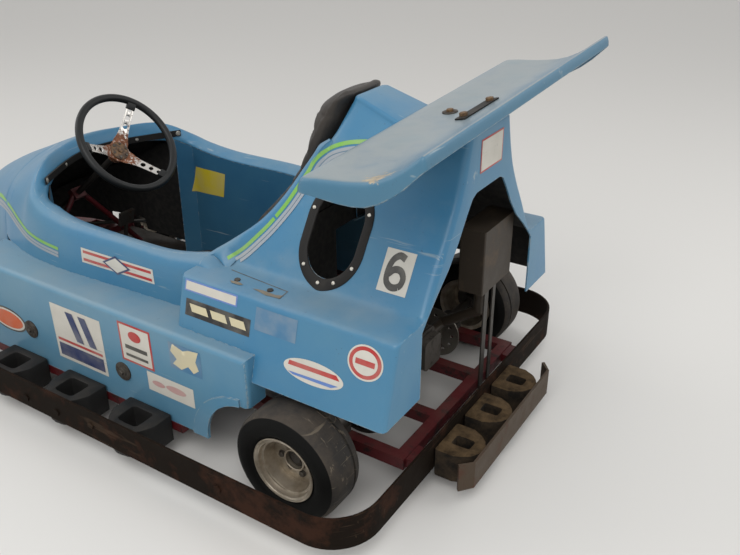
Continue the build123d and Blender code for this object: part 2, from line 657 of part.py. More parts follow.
# Cockpit liner: inner walls beside and behind the seat, wider at the top
liner_t = 3.0
liner_bottom = frame_top + floor_t
liner_top = 500.0
liner_low_y = frame_half_w - 14.0
liner_high_y = liner_low_y + 18.0
liner_front_x = rear_axle_x + 1040.0
seat_back_in = 376.0
seat_back_x = rear_axle_x + seat_back_in
liner_back_x = seat_back_x - seat_gap - liner_t
with BuildPart() as cockpit_liner:
    for shift, thin, cut in ((0.0, 0.0, Mode.ADD), (liner_t, liner_t, Mode.SUBTRACT)):
        for z, half in ((liner_bottom, liner_low_y), (liner_top, liner_high_y)):
            with BuildSketch(Plane.XY.offset(z)):
                with Locations(((liner_front_x + liner_back_x) / 2 + shift, 0)):
                    Rectangle(liner_front_x - liner_back_x, 2 * (half - thin))
        loft(ruled=True, mode=cut)
keep(cockpit_liner, "cockpit_liner")

# Seat: base cushion and the tall padded back that leans on the cowl
seat_base_l = 400.0
seat_base_w = 420.0
seat_base_h = 100.0
seat_back_half_w = 105.0
with BuildPart() as seat_base:
    with Locations((rear_axle_x + 690.0, 0, frame_top + floor_t + seat_gap)):
        Box(seat_base_l, seat_base_w, seat_base_h, align=(Align.CENTER, Align.CENTER, Align.MIN))
    fillet(seat_base.faces().sort_by(Axis.Z)[-1].edges(), 24.0)
keep(seat_base, "seat_base")

seat_foot_z = 240.0
back_line = (
    # x from the rear axle, z up the face that leans on the cowl
    (seat_back_in, 504.0), (358.0, 534.0), (268.0, 600.0), (212.0, 660.0), (177.0, 720.0), (133.0, 800.0),
    (103.0, 862.0), (92.0, 896.0),
)
front_line = (
    # x from the rear axle, z down the padded front: the middle and the end of each of three arcs
    (140.0, 902.0), (190.0, 862.0), (300.0, 700.0), (400.0, 540.0), (462.0, 390.0), (480.0, seat_foot_z),
)
with BuildPart() as seat_back:
    with BuildSketch(Plane.XZ):
        with BuildLine():
            lean = Polyline((seat_back_x, seat_foot_z), *[(rear_axle_x + x, z) for x, z in back_line])
            places = [(rear_axle_x + x, z) for x, z in front_line]
            ThreePointArc(lean @ 1, places[0], places[1])
            ThreePointArc(places[1], places[2], places[3])
            ThreePointArc(places[3], places[4], places[5])
            Line(places[5], lean @ 0)
        make_face()
    extrude(amount=seat_back_half_w, both=True)
keep(seat_back, "seat_back")

# Rear wing: moulded tray, open below, swept up to a lip at the rear and rolled a little
wing_span = 920.0
wing_skin = 5.0
wing_front_x = rear_axle_x - 65.0
wing_front_z = 861.5
wing_lip_x = rear_axle_x - 325.0
wing_lip_z = 960.0
wing_flange = 30.0
wing_lip_h = 38.0
wing_roll = 2.7


def wing_profile(inset):
    """Side profile of the wing's solid, moved inward by inset on every side but the open bottom."""
    drop = 4 * inset
    Polyline((wing_lip_x - 3.0 + inset, wing_lip_z - wing_lip_h - drop),
             (wing_lip_x - 70.0 + 150.0, wing_front_z - wing_flange - 14.0 - drop),
             (wing_front_x - inset, wing_front_z - wing_flange - drop), (wing_front_x - inset, wing_front_z - 12.0))
    ThreePointArc((wing_front_x - inset, wing_front_z - 12.0), (wing_front_x - 4.0 - inset, wing_front_z - inset),
                  (wing_front_x - 16.0, wing_front_z + 4.0 - inset))
    ThreePointArc((wing_front_x - 16.0, wing_front_z + 4.0 - inset),
                  (wing_front_x - 150.0, wing_front_z + 24.0 - inset), (wing_lip_x + inset, wing_lip_z - inset))
    Line((wing_lip_x + inset, wing_lip_z - inset), (wing_lip_x - 3.0 + inset, wing_lip_z - wing_lip_h - drop))


with BuildPart() as wing_flat:
    for inset, cut in ((0.0, Mode.ADD), (wing_skin, Mode.SUBTRACT)):
        with BuildSketch(Plane.XZ.offset(-wing_span / 2 + inset)):
            with BuildLine():
                wing_profile(inset)
            make_face()
        extrude(amount=wing_span - 2 * inset, mode=cut)
with BuildPart() as rear_wing:
    add(wing_flat.part.rotate(Axis((0, 0, wing_front_z), (1, 0, 0)), -wing_roll))
    with Locations((rear_axle_x, 0, cowl_top - 100.0)):
        Box(400.0, 240.0, 100.0 + seat_gap, align=(Align.CENTER, Align.CENTER, Align.MIN), mode=Mode.SUBTRACT)
keep(rear_wing, "rear_wing")

# Two blocks that carry the wing on the cowl's flat top
mount_block_y = 60.0
with BuildPart() as mount_blocks:
    for side in (-1, 1):
        with Locations((rear_axle_x - 150.0, side * mount_block_y, cowl_top)):
            Box(90.0, 30.0, 60.0, align=(Align.CENTER, Align.CENTER, Align.MIN))
    add(rear_wing.part, mode=Mode.SUBTRACT)
with BuildPart() as wing_mounts:
    add(mount_blocks.solids().sort_by(Axis.Z)[:2])
keep(wing_mounts, "wing_mounts")

# Steering wheel grip
wheel_plane = Plane(origin=hub_centre, x_dir=(0, 1, 0), z_dir=column_axis)
with BuildPart() as steering_wheel:
    with Locations(wheel_plane):
        Torus(steer_rim_r, steer_grip_r)
keep(steering_wheel, "steering_wheel_rim")

# Hub plate and three drilled spokes between the hub and the grip
spoke_angles = (28.0, 152.0, 270.0)
spoke_t = 3.0
hub_plate_r = 34.0
hub_plate_t = 5.0
boss_r = 24.0
boss_l = 30.0
with BuildPart() as steering_hub:
    with BuildSketch(wheel_plane.offset(-steer_dish)):
        Circle(hub_plate_r)
    extrude(amount=hub_plate_t)
    with BuildSketch(wheel_plane.offset(-steer_dish)):
        Circle(boss_r)
    extrude(amount=-boss_l)
    for angle in spoke_angles:
        direction = Vector(0, 1, 0) * cos(radians(angle)) + wheel_plane.y_dir * sin(radians(angle))
        start = hub_centre - column_axis * (steer_dish - hub_plate_t / 2) + direction * 20.0
        end = hub_centre + direction * (steer_rim_r - steer_grip_r - 0.8)
        run = end - start
        side_dir = column_axis.cross(direction)
        spoke_plane = Plane(origin=start, x_dir=run, z_dir=run.cross(side_dir))
        with BuildSketch(spoke_plane):
            with BuildLine():
                Polyline((0, 15.0), (run.length, 11.0), (run.length, -11.0), (0, -15.0), close=True)
            make_face()
            for share, hole_r in ((0.42, 7.0), (0.63, 6.2), (0.82, 5.4)):
                with Locations((run.length * share, 0)):
                    Circle(hole_r, mode=Mode.SUBTRACT)
        extrude(amount=spoke_t / 2, both=True)
keep(steering_hub, "steering_hub")

# Column from the hub's boss to a block on the front cross-member, with the drop arm part way
column_r = 9.5
column_end = 690.0
with BuildPart() as steering_column:
    with BuildSketch(wheel_plane.offset(-steer_dish - boss_l)):
        Circle(column_r)
    extrude(amount=-(column_end - steer_dish - boss_l))
    drop_plane = Plane(origin=drop_centre + column_axis * (drop_t / 2), x_dir=(0, 1, 0), z_dir=column_axis)
    reach = pitman_arm * (1.0 if drop_plane.y_dir.dot(drop_dir) > 0 else -1.0)
    with BuildSketch(drop_plane):
        Circle(16.0)
        with BuildLine():
            Polyline((-14.0, 0.0), (14.0, 0.0), (ball_y + 9.0, reach * 1.1), (-ball_y - 9.0, reach * 1.1), close=True)
        make_face()
        with Locations((ball_y, reach), (-ball_y, reach)):
            Circle(stud_r, mode=Mode.SUBTRACT)
    extrude(amount=-drop_t)
keep(steering_column, "steering_column")

# Column support: a hoop on the floor with an upper bearing, and the lower bearing block
support_s = 300.0
support_c = hub_centre - column_axis * (steer_dish + support_s)
hoop_r = 9.0
block_h = 50.0
with BuildPart() as column_support:
    with Locations(Plane(origin=support_c, x_dir=(0, 1, 0), z_dir=column_axis)):
        Box(44.0, 36.0, 24.0)
    for side in (-1, 1):
        foot = Vector(support_c.X, side * (rail_y - 60.0), frame_top + floor_t)
        head = Vector(support_c.X, side * 15.0, support_c.Z)
        leg = head - foot
        with BuildSketch(Plane(origin=foot - leg.normalized() * 20.0, z_dir=leg)):
            Circle(hoop_r)
        extrude(amount=leg.length + 20.0)
    with Locations((support_c.X, 0, frame_top + floor_t)):
        Box(200.0, 800.0, 100.0, align=(Align.CENTER, Align.CENTER, Align.MAX), mode=Mode.SUBTRACT)
    with Locations((frame_front_x - 22.0, 0, frame_top)):
        Box(44.0, 46.0, block_h, align=(Align.CENTER, Align.CENTER, Align.MIN))
    with BuildSketch(Plane(origin=hub_centre, z_dir=column_axis)):
        Circle(column_r + run_gap)
    extrude(amount=-900.0, mode=Mode.SUBTRACT)
keep(column_support, "column_support")

# Pedals: two arms with foot plates on a cross tube over the front of the floor
pedal_x = rear_axle_x + 1195.0
pedal_y = 120.0
pedal_z = frame_top + floor_t + 14.0
pedal_plate_w = 60.0
with BuildPart() as pedals:
    for side in (-1, 1):
        with Locations((pedal_x, side * pedal_y, frame_top + floor_t)):
            Box(30.0, 30.0, 28.0, align=(Align.CENTER, Align.CENTER, Align.MIN))
        arm = Plane(origin=(pedal_x, side * pedal_y, pedal_z), x_dir=(0, 1, 0), z_dir=(-0.25, 0, 0.968))
        with BuildSketch(arm):
            Circle(7.0)
        extrude(amount=120.0)
        with BuildSketch(arm.offset(112.0)):
            Rectangle(pedal_plate_w, 12.0)
        extrude(amount=50.0)
keep(pedals, "pedals")

# Engine block on its mounting plate, with the fan shroud at the right and the pinion at the left
engine_x = rear_axle_x + 90.0
engine_y = 20.0
mount_t = 6.0
mount_l = 200.0
mount_w = 250.0
block_l = 150.0
block_w = 150.0
block_z = frame_top + mount_t
crank_l = 200.0
crank_h = 130.0
shaft_clear = 16.0
crank_z = rear_tyre_r + axle_r + shaft_clear
shroud_r = 72.0
shroud_w = 46.0
shroud_slots = 16
shroud_z = crank_z + 58.0
starter_r = 30.0
pinion_r = 24.0
pinion_x = rear_axle_x + 190.0
pinion_z = 190.0
with BuildPart() as engine_block:
    with Locations((engine_x + 70.0, engine_y, frame_top)):
        Box(mount_l, mount_w, mount_t, align=(Align.CENTER, Align.CENTER, Align.MIN))
    with Locations((engine_x + 70.0, engine_y, block_z)):
        Box(block_l, block_w, crank_z + crank_h - block_z, align=(Align.CENTER, Align.CENTER, Align.MIN))
    fillet(engine_block.edges().filter_by(Axis.Z).group_by(Axis.Z)[-1], 12.0)
    with Locations((engine_x - 20.0, engine_y, crank_z)):
        Box(crank_l, block_w - 20.0, crank_h, align=(Align.CENTER, Align.CENTER, Align.MIN))
    shroud_plane = Plane(origin=(engine_x, engine_y - block_w / 2 + 6.0, shroud_z), z_dir=(0, -1, 0))
    with BuildSketch(shroud_plane):
        Circle(shroud_r)
    with BuildSketch(shroud_plane.offset(shroud_w)):
        Circle(shroud_r - 14.0)
    loft(ruled=True)
    with BuildSketch(shroud_plane.offset(shroud_w - 2.0)):
        Circle(starter_r)
    extrude(amount=14.0)
    with BuildSketch(shroud_plane.offset(shroud_w - 4.0)):
        with PolarLocations(44.0, shroud_slots):
            SlotOverall(16.0, 4.0)
    extrude(amount=8.0, mode=Mode.SUBTRACT)
    with BuildSketch(Plane(origin=(pinion_x, engine_y, pinion_z), z_dir=(0, 1, 0))):
        Circle(10.0)
    extrude(amount=sprocket_y + sprocket_t / 2 - engine_y + 8.0)
    with BuildSketch(Plane(origin=(pinion_x, sprocket_y - sprocket_t / 2, pinion_z), z_dir=(0, 1, 0))):
        Circle(pinion_r)
    extrude(amount=sprocket_t)
keep(engine_block, "engine_block")

# Chain round the sprocket and the pinion
chain_w = 12.0
chain_h = 9.0
chain_gap = 2.5
with BuildPart() as chain:
    for grow, cut in ((chain_h, Mode.ADD), (0.0, Mode.SUBTRACT)):
        with BuildSketch(Plane.XZ.offset(-sprocket_y)):
            with Locations((rear_axle_x, rear_tyre_r)):
                Circle(sprocket_r + chain_gap + grow)
            with Locations((pinion_x, pinion_z)):
                Circle(pinion_r + grow)
            make_hull()
        extrude(amount=chain_w / 2, both=True, mode=cut)
keep(chain, "chain")

# Finned cylinder that lies to the rear, with its cylinder head
fin_count = 8
fin_t = 2.5
fin_pitch = 8.0
fin_size = 100.0
barrel_half = 36.0
fins_x = engine_x - 20.0 - crank_l / 2
fins_z = crank_z + crank_h / 2
head_t = 22.0
with BuildPart() as engine_cylinder:
    fins_l = fin_count * fin_pitch
    with Locations((fins_x - fins_l / 2, engine_y, fins_z)):
        Cylinder(barrel_half, fins_l, rotation=(0, 90, 0))
    for n in range(fin_count):
        with BuildSketch(Plane(origin=(fins_x - (n + 0.7) * fin_pitch, engine_y, fins_z), z_dir=(1, 0, 0))):
            RectangleRounded(fin_size, fin_size, 14.0)
        extrude(amount=fin_t)
    with BuildSketch(Plane(origin=(fins_x - fins_l, engine_y, fins_z), z_dir=(-1, 0, 0))):
        RectangleRounded(fin_size - 16.0, fin_size - 16.0, 14.0)
    extrude(amount=head_t)
keep(engine_cylinder, "engine_cylinder")

# Silencer box behind the engine on two flat struts bolted to the rear cross-member
strut_t = 4.0
box_rear_x = frame_rear_x - strut_t - 2.0
box_depth = 70.0
box_left_y = -64.0
box_w = 168.0
box_bottom = 386.0
box_h = 174.0
strut_rows = (
    # y, width
    (-96.0, 22.0), (-142.0, 16.0),
)
with BuildPart() as silencer_box:
    with Locations((box_rear_x + box_depth / 2, box_left_y - box_w / 2, box_bottom)):
        Box(box_depth, box_w, box_h, align=(Align.CENTER, Align.CENTER, Align.MIN))
    fillet(silencer_box.edges().filter_by(Axis.Z), 4.0)
keep(silencer_box, "silencer_box")
with BuildPart() as silencer_struts:
    for y, width in strut_rows:
        with Locations((frame_rear_x - strut_t / 2, y, frame_top - tube)):
            Box(strut_t, width, box_bottom - frame_top + tube, align=(Align.CENTER, Align.CENTER, Align.MIN))
keep(silencer_struts, "silencer_struts")

# Exhaust pipe from the cylinder head up to the silencer box
pipe_r = 14.0
pipe_y = box_left_y - 60.0
with BuildPart() as exhaust_pipe:
    pipe_x = box_rear_x + box_depth / 2
    port = Vector(fins_x - fins_l / 2, engine_y - fin_size / 2, fins_z)
    with BuildLine():
        Polyline((port.X, port.Y, port.Z), (port.X, pipe_y, port.Z), (pipe_x, pipe_y, port.Z + 70.0),
                 (pipe_x, pipe_y, box_bottom))
    with BuildSketch(Plane(origin=port, z_dir=(0, -1, 0))):
        Circle(pipe_r)
    sweep(transition=Transition.ROUND)
keep(exhaust_pipe, "exhaust_pipe")

for part in made:
    export_step(part, "parts/" + part.label + ".step")
    print(part.label, len(part.solids()), round(part.volume / 1000.0, 1))
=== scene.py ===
from math import copysign, cos, dist, pi, radians, sin
from random import Random

import bmesh
import bpy
from mathutils import Matrix, Vector
from mathutils.bvhtree import BVHTree


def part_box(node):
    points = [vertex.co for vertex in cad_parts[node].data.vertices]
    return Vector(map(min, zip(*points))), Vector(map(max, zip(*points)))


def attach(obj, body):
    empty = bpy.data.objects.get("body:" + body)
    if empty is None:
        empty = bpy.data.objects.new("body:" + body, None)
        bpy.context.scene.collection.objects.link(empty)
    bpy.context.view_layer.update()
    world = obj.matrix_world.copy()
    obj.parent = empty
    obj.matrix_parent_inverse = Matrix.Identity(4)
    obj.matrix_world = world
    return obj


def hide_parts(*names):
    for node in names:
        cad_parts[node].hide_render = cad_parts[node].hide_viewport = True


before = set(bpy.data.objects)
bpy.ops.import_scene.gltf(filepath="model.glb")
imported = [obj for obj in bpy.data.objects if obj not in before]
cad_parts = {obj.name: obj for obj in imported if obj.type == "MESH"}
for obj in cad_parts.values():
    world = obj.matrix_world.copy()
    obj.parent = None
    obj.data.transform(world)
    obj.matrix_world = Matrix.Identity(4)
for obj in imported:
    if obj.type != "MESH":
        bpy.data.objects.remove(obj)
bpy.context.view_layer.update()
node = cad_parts
axle_low, axle_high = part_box("rear_axle")
rear_x = (axle_low.x + axle_high.x) / 2
scene = bpy.context.scene


# Camera and studio.
# A plain pale floor and soft lamps from above, with the camera where the picture was taken from,
# a little above and behind the kart's left side.
photo_width = 740.0
focal_pixels = 815.6
camera_place = Vector((-1.674, 1.594, 1.374))
camera_heading = radians(-57.07)
camera_pitch = radians(27.46)
camera_roll = radians(0.37)
ahead = Vector((cos(camera_heading) * cos(camera_pitch), sin(camera_heading) * cos(camera_pitch), -sin(camera_pitch)))
level_right = Vector((sin(camera_heading), -cos(camera_heading), 0.0))
level_down = ahead.cross(level_right)
right = level_right * cos(camera_roll) + level_down * sin(camera_roll)
up = level_right * sin(camera_roll) - level_down * cos(camera_roll)
lens = bpy.data.cameras.new("camera")
lens.sensor_width = 36.0
lens.lens = focal_pixels / photo_width * lens.sensor_width
camera = bpy.data.objects.new("camera", lens)
scene.collection.objects.link(camera)
camera.matrix_world = Matrix.Translation(camera_place) @ Matrix((right, up, -ahead)).transposed().to_4x4()
scene.camera = camera
scene.view_settings.view_transform = "Standard"


def colour(red, green, blue):
    """A colour written as 0 to 255 values of a display, as the linear colour that a shader takes."""
    linear = []
    for value in (red, green, blue):
        share = value / 255.0
        linear.append(share / 12.92 if share <= 0.04045 else ((share + 0.055) / 1.055) ** 2.4)
    return (*linear, 1.0)


def feed(tree, target, sockets):
    """Sets inputs of a shader node to values, or links them where a socket is given."""
    for name, value in sockets.items():
        if isinstance(value, bpy.types.NodeSocket):
            tree.links.new(value, target.inputs[name])
        else:
            target.inputs[name].default_value = value


def add(tree, kind, sockets=None, **settings):
    """A shader node of that kind, with its settings, and its inputs set to values or linked to sockets."""
    made = tree.nodes.new("ShaderNode" + kind)
    for name, value in settings.items():
        setattr(made, name, value)
    feed(tree, made, sockets or {})
    return made


def blank_material(name):
    """A new material with a principled shader: the material, its node tree and the shader."""
    material = bpy.data.materials.new(name)
    material.use_nodes = True
    return material, material.node_tree, material.node_tree.nodes["Principled BSDF"]


def mixed(tree, share, first, second):
    """Colour socket that goes from the first colour to the second as the share goes from 0 to 1."""
    return add(tree, "Mix", {0: share, 6: first, 7: second}, data_type="RGBA").outputs[2]


def maths(tree, operation, first, second):
    """Value socket of one operation on two values."""
    return add(tree, "Math", {0: first, 1: second}, operation=operation).outputs[0]


def between(tree, value, low, high, low_out=0.0, high_out=1.0):
    """Value socket moved from one range to another and held inside it."""
    return add(tree, "MapRange", {"Value": value, "From Min": low, "From Max": high, "To Min": low_out,
                                  "To Max": high_out}).outputs["Result"]


floor_material, tree, shader = blank_material("studio_floor")
speckle = add(tree, "TexNoise", {"Scale": 3.0, "Detail": 3.0}).outputs["Fac"]
feed(tree, shader, {"Base Color": mixed(tree, speckle, colour(222, 220, 216), colour(228, 226, 222)),
                    "Roughness": 0.85})
floor_mesh = bpy.data.meshes.new("studio_floor")
floor_half = 30.0
floor_mesh.from_pydata([(x * floor_half, y * floor_half, 0.0) for x, y in ((-1, -1), (1, -1), (1, 1), (-1, 1))],
                       [], [(0, 1, 2, 3)])
floor_mesh.materials.append(floor_material)
floor = bpy.data.objects.new("studio_floor", floor_mesh)
scene.collection.objects.link(floor)

world = bpy.data.worlds.new("studio_world")
world.use_nodes = True
tree = world.node_tree
rays = add(tree, "LightPath").outputs
seen = maths(tree, "MAXIMUM", rays["Is Camera Ray"], rays["Is Glossy Ray"])
seen = maths(tree, "MAXIMUM", seen, rays["Is Transmission Ray"])
sky_on_things = 0.62
sky_seen = 0.85
feed(tree, tree.nodes["Background"], {"Strength": between(tree, seen, 0.0, 1.0, sky_on_things, sky_seen),
                                      "Color": colour(250, 250, 250)})
scene.world = world

lamps = (
    # name, place, size, power
    ("key_lamp", (-1.6, 2.6, 3.4), 2.6, 75.0),
    ("fill_lamp", (-3.2, -1.6, 2.8), 3.0, 32.0),
    ("front_lamp", (3.0, 1.2, 3.0), 3.0, 34.0),
)
for name, place, size, power in lamps:
    light = bpy.data.lights.new(name, "AREA")
    light.size = size
    light.energy = power
    lamp = bpy.data.objects.new(name, light)
    lamp.location = place
    lamp.rotation_mode = "QUATERNION"
    lamp.rotation_quaternion = (Vector((0.0, 0.0, 0.4)) - Vector(place)).to_track_quat("-Z", "Y")
    scene.collection.objects.link(lamp)


# Front body: nose and cockpit surround.
# One light blue moulding of glass-fibre, about 4 mm thick, sun-bleached and dusty on top,
# with a rolled edge round the cockpit that runs up the front edges of the tall cowl.
def mask_group(name, **inputs):
    """A new shader node group that makes a mask from plain values: the tree, its inputs and the mask's socket."""
    group = bpy.data.node_groups.new(name, "ShaderNodeTree")
    for label, value in inputs.items():
        group.interface.new_socket(label, in_out="INPUT", socket_type="NodeSocketFloat").default_value = value
    group.interface.new_socket("Mask", in_out="OUTPUT", socket_type="NodeSocketFloat")
    return group, group.nodes.new("NodeGroupInput").outputs, group.nodes.new("NodeGroupOutput").inputs["Mask"]


def own_place(tree):
    """Vector socket of the object's own places."""
    return add(tree, "TexCoord").outputs["Object"]


def noise(tree, scale, detail=2.0, roughness=0.5, place=None):
    """Value socket of a cloud pattern, laid by the object's own places unless others are given."""
    sockets = {"Vector": place or own_place(tree), "Scale": scale, "Detail": detail, "Roughness": roughness}
    return add(tree, "TexNoise", sockets).outputs["Fac"]


def facing_up(tree):
    """Value socket: 1 where the surface faces up, 0 where it is upright and -1 where it faces down."""
    return add(tree, "SeparateXYZ", {"Vector": add(tree, "NewGeometry").outputs["Normal"]}).outputs["Z"]


def bumped(tree, height, strength, depth, under=None):
    """Normal socket of a relief of that depth in metres, on top of another relief if one is given."""
    sockets = {"Height": height, "Strength": strength, "Distance": depth}
    if under is not None:
        sockets["Normal"] = under
    return add(tree, "Bump", sockets).outputs[0]


dust_group, given, mask = mask_group("dust", Scale=6.0, Cover=0.4, Upward=0.5)
cloud = noise(dust_group, given["Scale"], 7.0, 0.62)
lifted = maths(dust_group, "MULTIPLY", between(dust_group, facing_up(dust_group), 0.0, 1.0), given["Upward"])
total = maths(dust_group, "ADD", maths(dust_group, "ADD", cloud, lifted), given["Cover"])
dust_group.links.new(between(dust_group, total, 0.75, 1.35), mask)

scratch_group, given, mask = mask_group("scratches", Scale=30.0, Cover=0.3, Slant=0.1)
place = own_place(scratch_group)
tilt = add(scratch_group, "CombineXYZ", {"X": given["Slant"], "Y": given["Slant"], "Z": given["Slant"]}).outputs[0]
layers = []
for stretch in ((0.12, 0.12, 3.0), (0.1, 2.2, 0.9)):
    drawn_out = add(scratch_group, "Mapping", {"Vector": place, "Rotation": tilt, "Scale": stretch}).outputs[0]
    layers.append(noise(scratch_group, given["Scale"], 3.0, 0.7, drawn_out))
where = between(scratch_group, noise(scratch_group, 4.0), 0.3, 0.7, -0.08, 0.05)
deep = maths(scratch_group, "ADD", maths(scratch_group, "MAXIMUM", *layers), where)
deep = maths(scratch_group, "ADD", deep, given["Cover"])
scratch_group.links.new(between(scratch_group, deep, 0.99, 1.04), mask)

edge_group, given, mask = mask_group("edge_wear", Radius=0.004, Amount=1.0, Scale=60.0)
rounded = add(edge_group, "Bevel", {"Radius": given["Radius"]}, samples=6).outputs[0]
flat = add(edge_group, "NewGeometry").outputs["Normal"]
same = add(edge_group, "VectorMath", {0: rounded, 1: flat}, operation="DOT_PRODUCT").outputs["Value"]
broken = between(edge_group, noise(edge_group, given["Scale"], 4.0), 0.42, 0.62)
edge = maths(edge_group, "MULTIPLY", between(edge_group, same, 0.995, 0.86), broken)
edge_group.links.new(maths(edge_group, "MULTIPLY", edge, given["Amount"]), mask)


def effect(tree, group, **values):
    """The first output of a node group placed in a material with its own values."""
    made = tree.nodes.new("ShaderNodeGroup")
    made.node_tree = group
    for name, value in values.items():
        made.inputs[name].default_value = value
    return made.outputs[0]


def body_paint(name, base, faded, dust, cover, upward):
    """Light blue gel coat: two shades in clouds, dust that lies where it can, scratches and chipped edges."""
    material, tree, shader = blank_material(name)
    shade = mixed(tree, between(tree, noise(tree, 3.2, 5.0, 0.6), 0.35, 0.68), base, faded)
    dusty = maths(tree, "MULTIPLY", effect(tree, dust_group, Scale=5.0, Cover=cover, Upward=upward), 0.8)
    shade = mixed(tree, dusty, shade, dust)
    grit = noise(tree, 95.0, 3.0, 0.75)
    shade = mixed(tree, between(tree, grit, 0.66, 0.74, 0.0, 0.45), shade, colour(52, 62, 66))
    scuffs = effect(tree, scratch_group, Scale=26.0, Cover=0.31, Slant=0.12)
    shade = mixed(tree, maths(tree, "MULTIPLY", scuffs, 0.5), shade, colour(168, 178, 178))
    worn = effect(tree, edge_group, Radius=0.004, Amount=0.55, Scale=70.0)
    ripple = bumped(tree, noise(tree, 7.0), 0.35, 0.006)
    feed(tree, shader, {"Base Color": mixed(tree, worn, shade, colour(196, 190, 172)),
                        "Roughness": between(tree, dusty, 0.0, 0.8, 0.34, 0.66),
                        "Normal": bumped(tree, grit, 0.12, 0.0006, ripple)})
    return material


def mottled(name, first, second, scale, detail, low, high, roughness, metallic=0.0, relief=None):
    """A material of two shades in small clouds, with one roughness or a pair, and a relief if one is given."""
    material, tree, shader = blank_material(name)
    clouds = noise(tree, scale, detail)
    if isinstance(roughness, tuple):
        roughness = between(tree, clouds, 0.3, 0.7, *roughness)
    feed(tree, shader, {"Base Color": mixed(tree, between(tree, clouds, low, high), first, second),
                        "Metallic": metallic, "Roughness": roughness})
    if relief:
        feed(tree, shader, {"Normal": bumped(tree, clouds, *relief)})
    return material


paint_side = body_paint("blue_gel_coat", colour(58, 120, 158), colour(78, 128, 156), colour(138, 152, 158),
                        -0.04, 0.50)
paint_low = body_paint("blue_gel_coat_dusty", colour(80, 132, 162), colour(100, 141, 163), colour(140, 152, 156),
                       0.0, 0.52)
# Painted shade: a darker copy of the body's blue for the cockpit's inner walls.
paint_inside_painted_shade = body_paint("blue_gel_coat_inside_painted_shade", colour(44, 92, 124), colour(58, 104, 130), colour(74, 84, 84),
                          0.05, 0.2)
# Painted shade: near black for the inner faces of the mouldings, the walls' backs and the leg panels, standing for
# the dark inside.
inside_black_painted_shade = mottled("inside_black_painted_shade", colour(24, 23, 22), colour(44, 41, 37), 60.0, 6.0, 0.4, 0.7,
                       roughness=0.85, relief=(0.5, 0.002))


def smooth_line(rows, steps, before=None, after=None):
    """Rows on a smooth curve through the given rows, with that many steps from each row to the next."""
    rows = [tuple(row) for row in rows]
    first = before or tuple(2 * a - b for a, b in zip(rows[0], rows[1]))
    last = after or tuple(2 * a - b for a, b in zip(rows[-1], rows[-2]))
    rows = [first, *rows, last]
    curve = []
    for four in zip(rows, rows[1:], rows[2:], rows[3:]):
        times = [0.0]
        for start, end in zip(four, four[1:]):
            times.append(times[-1] + max(dist(start, end), 1e-6) ** 0.5)
        for step in range(steps):
            now = times[1] + (times[2] - times[1]) * step / steps
            level = list(four)
            for spans in (((0, 1), (1, 2), (2, 3)), ((0, 2), (1, 3)), ((1, 2),)):
                level = [tuple(a + (b - a) * (now - times[i]) / (times[j] - times[i]) for a, b in zip(p, q))
                         for p, q, (i, j) in zip(level, level[1:], spans)]
            curve.append(level[0])
    curve.append(rows[-2])
    return curve


def beside(line, i):
    """The points before and after one in a line, or the point itself where the line ends."""
    return line[max(i - 1, 0)], line[min(i + 1, len(line) - 1)]


def grid_faces(rows, columns, round_rows=False, round_columns=False):
    """Four-sided faces of a grid whose points are listed row by row, which may close on itself."""
    faces = []
    for i in range(rows if round_rows else rows - 1):
        for j in range(columns if round_columns else columns - 1):
            k, n = (i + 1) % rows, (j + 1) % columns
            faces.append((i * columns + j, i * columns + n, k * columns + n, k * columns + j))
    return faces


def both_sides(half_rows):
    """Points and faces of a grid of rows on the left and of its mirror image on the right."""
    faces = grid_faces(len(half_rows), len(half_rows[0]))
    points = [(x, side * y, z) for side in (1, -1) for row in half_rows for x, y, z in row]
    return points, faces + [tuple(len(points) // 2 + index for index in face) for face in faces]


def shape_up(piece, crease=38.0):
    """Applies the piece's modifiers and shades it smooth up to that angle between its faces."""
    if piece.modifiers:
        bpy.context.view_layer.update()
        held = piece.evaluated_get(bpy.context.evaluated_depsgraph_get())
        mesh = bpy.data.meshes.new_from_object(held)
        piece.modifiers.clear()
        piece.data = mesh
    mesh = piece.data
    mesh.shade_smooth()
    mesh.set_sharp_from_angle(angle=radians(crease))


def new_piece(name, points, faces, material, body="chassis", finish="body_paint", crease=38.0, outward=True):
    """A mesh piece with its faces turned outward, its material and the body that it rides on."""
    mesh = bpy.data.meshes.new(name)
    mesh.from_pydata([tuple(point) for point in points], [], faces)
    made = bmesh.new()
    made.from_mesh(mesh)
    bmesh.ops.remove_doubles(made, verts=made.verts, dist=1e-6)
    if outward:
        bmesh.ops.recalc_face_normals(made, faces=made.faces)
        middle = sum((face.calc_center_median() for face in made.faces), Vector()) / len(made.faces)
        if sum((face.calc_center_median() - middle).dot(face.normal) * face.calc_area() for face in made.faces) < 0:
            bmesh.ops.reverse_faces(made, faces=made.faces)
    made.to_mesh(mesh)
    made.free()
    mesh.materials.append(material)
    piece = bpy.data.objects.new(name, mesh)
    scene.collection.objects.link(piece)
    shape_up(piece, crease)
    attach(piece, body)
    return piece


def prism(outline, axis, low, high):
    """A closed solid of that outline, drawn across the named axis, for cutting other pieces."""
    order = {"x": lambda a, b, c: (c, a, b), "y": lambda a, b, c: (a, c, b), "z": lambda a, b, c: (a, b, c)}[axis]
    count = len(outline)
    points = [order(a, b, level) for level in (low, high) for a, b in outline]
    faces = [tuple(range(count)), tuple(range(count, 2 * count))]
    faces += [(i, (i + 1) % count, count + (i + 1) % count, count + i) for i in range(count)]
    mesh = bpy.data.meshes.new("cutter")
    mesh.from_pydata(points, [], faces)
    made = bmesh.new()
    made.from_mesh(mesh)
    bmesh.ops.recalc_face_normals(made, faces=made.faces)
    made.to_mesh(mesh)
    made.free()
    cutter = bpy.data.objects.new("cutter", mesh)
    scene.collection.objects.link(cutter)
    return cutter


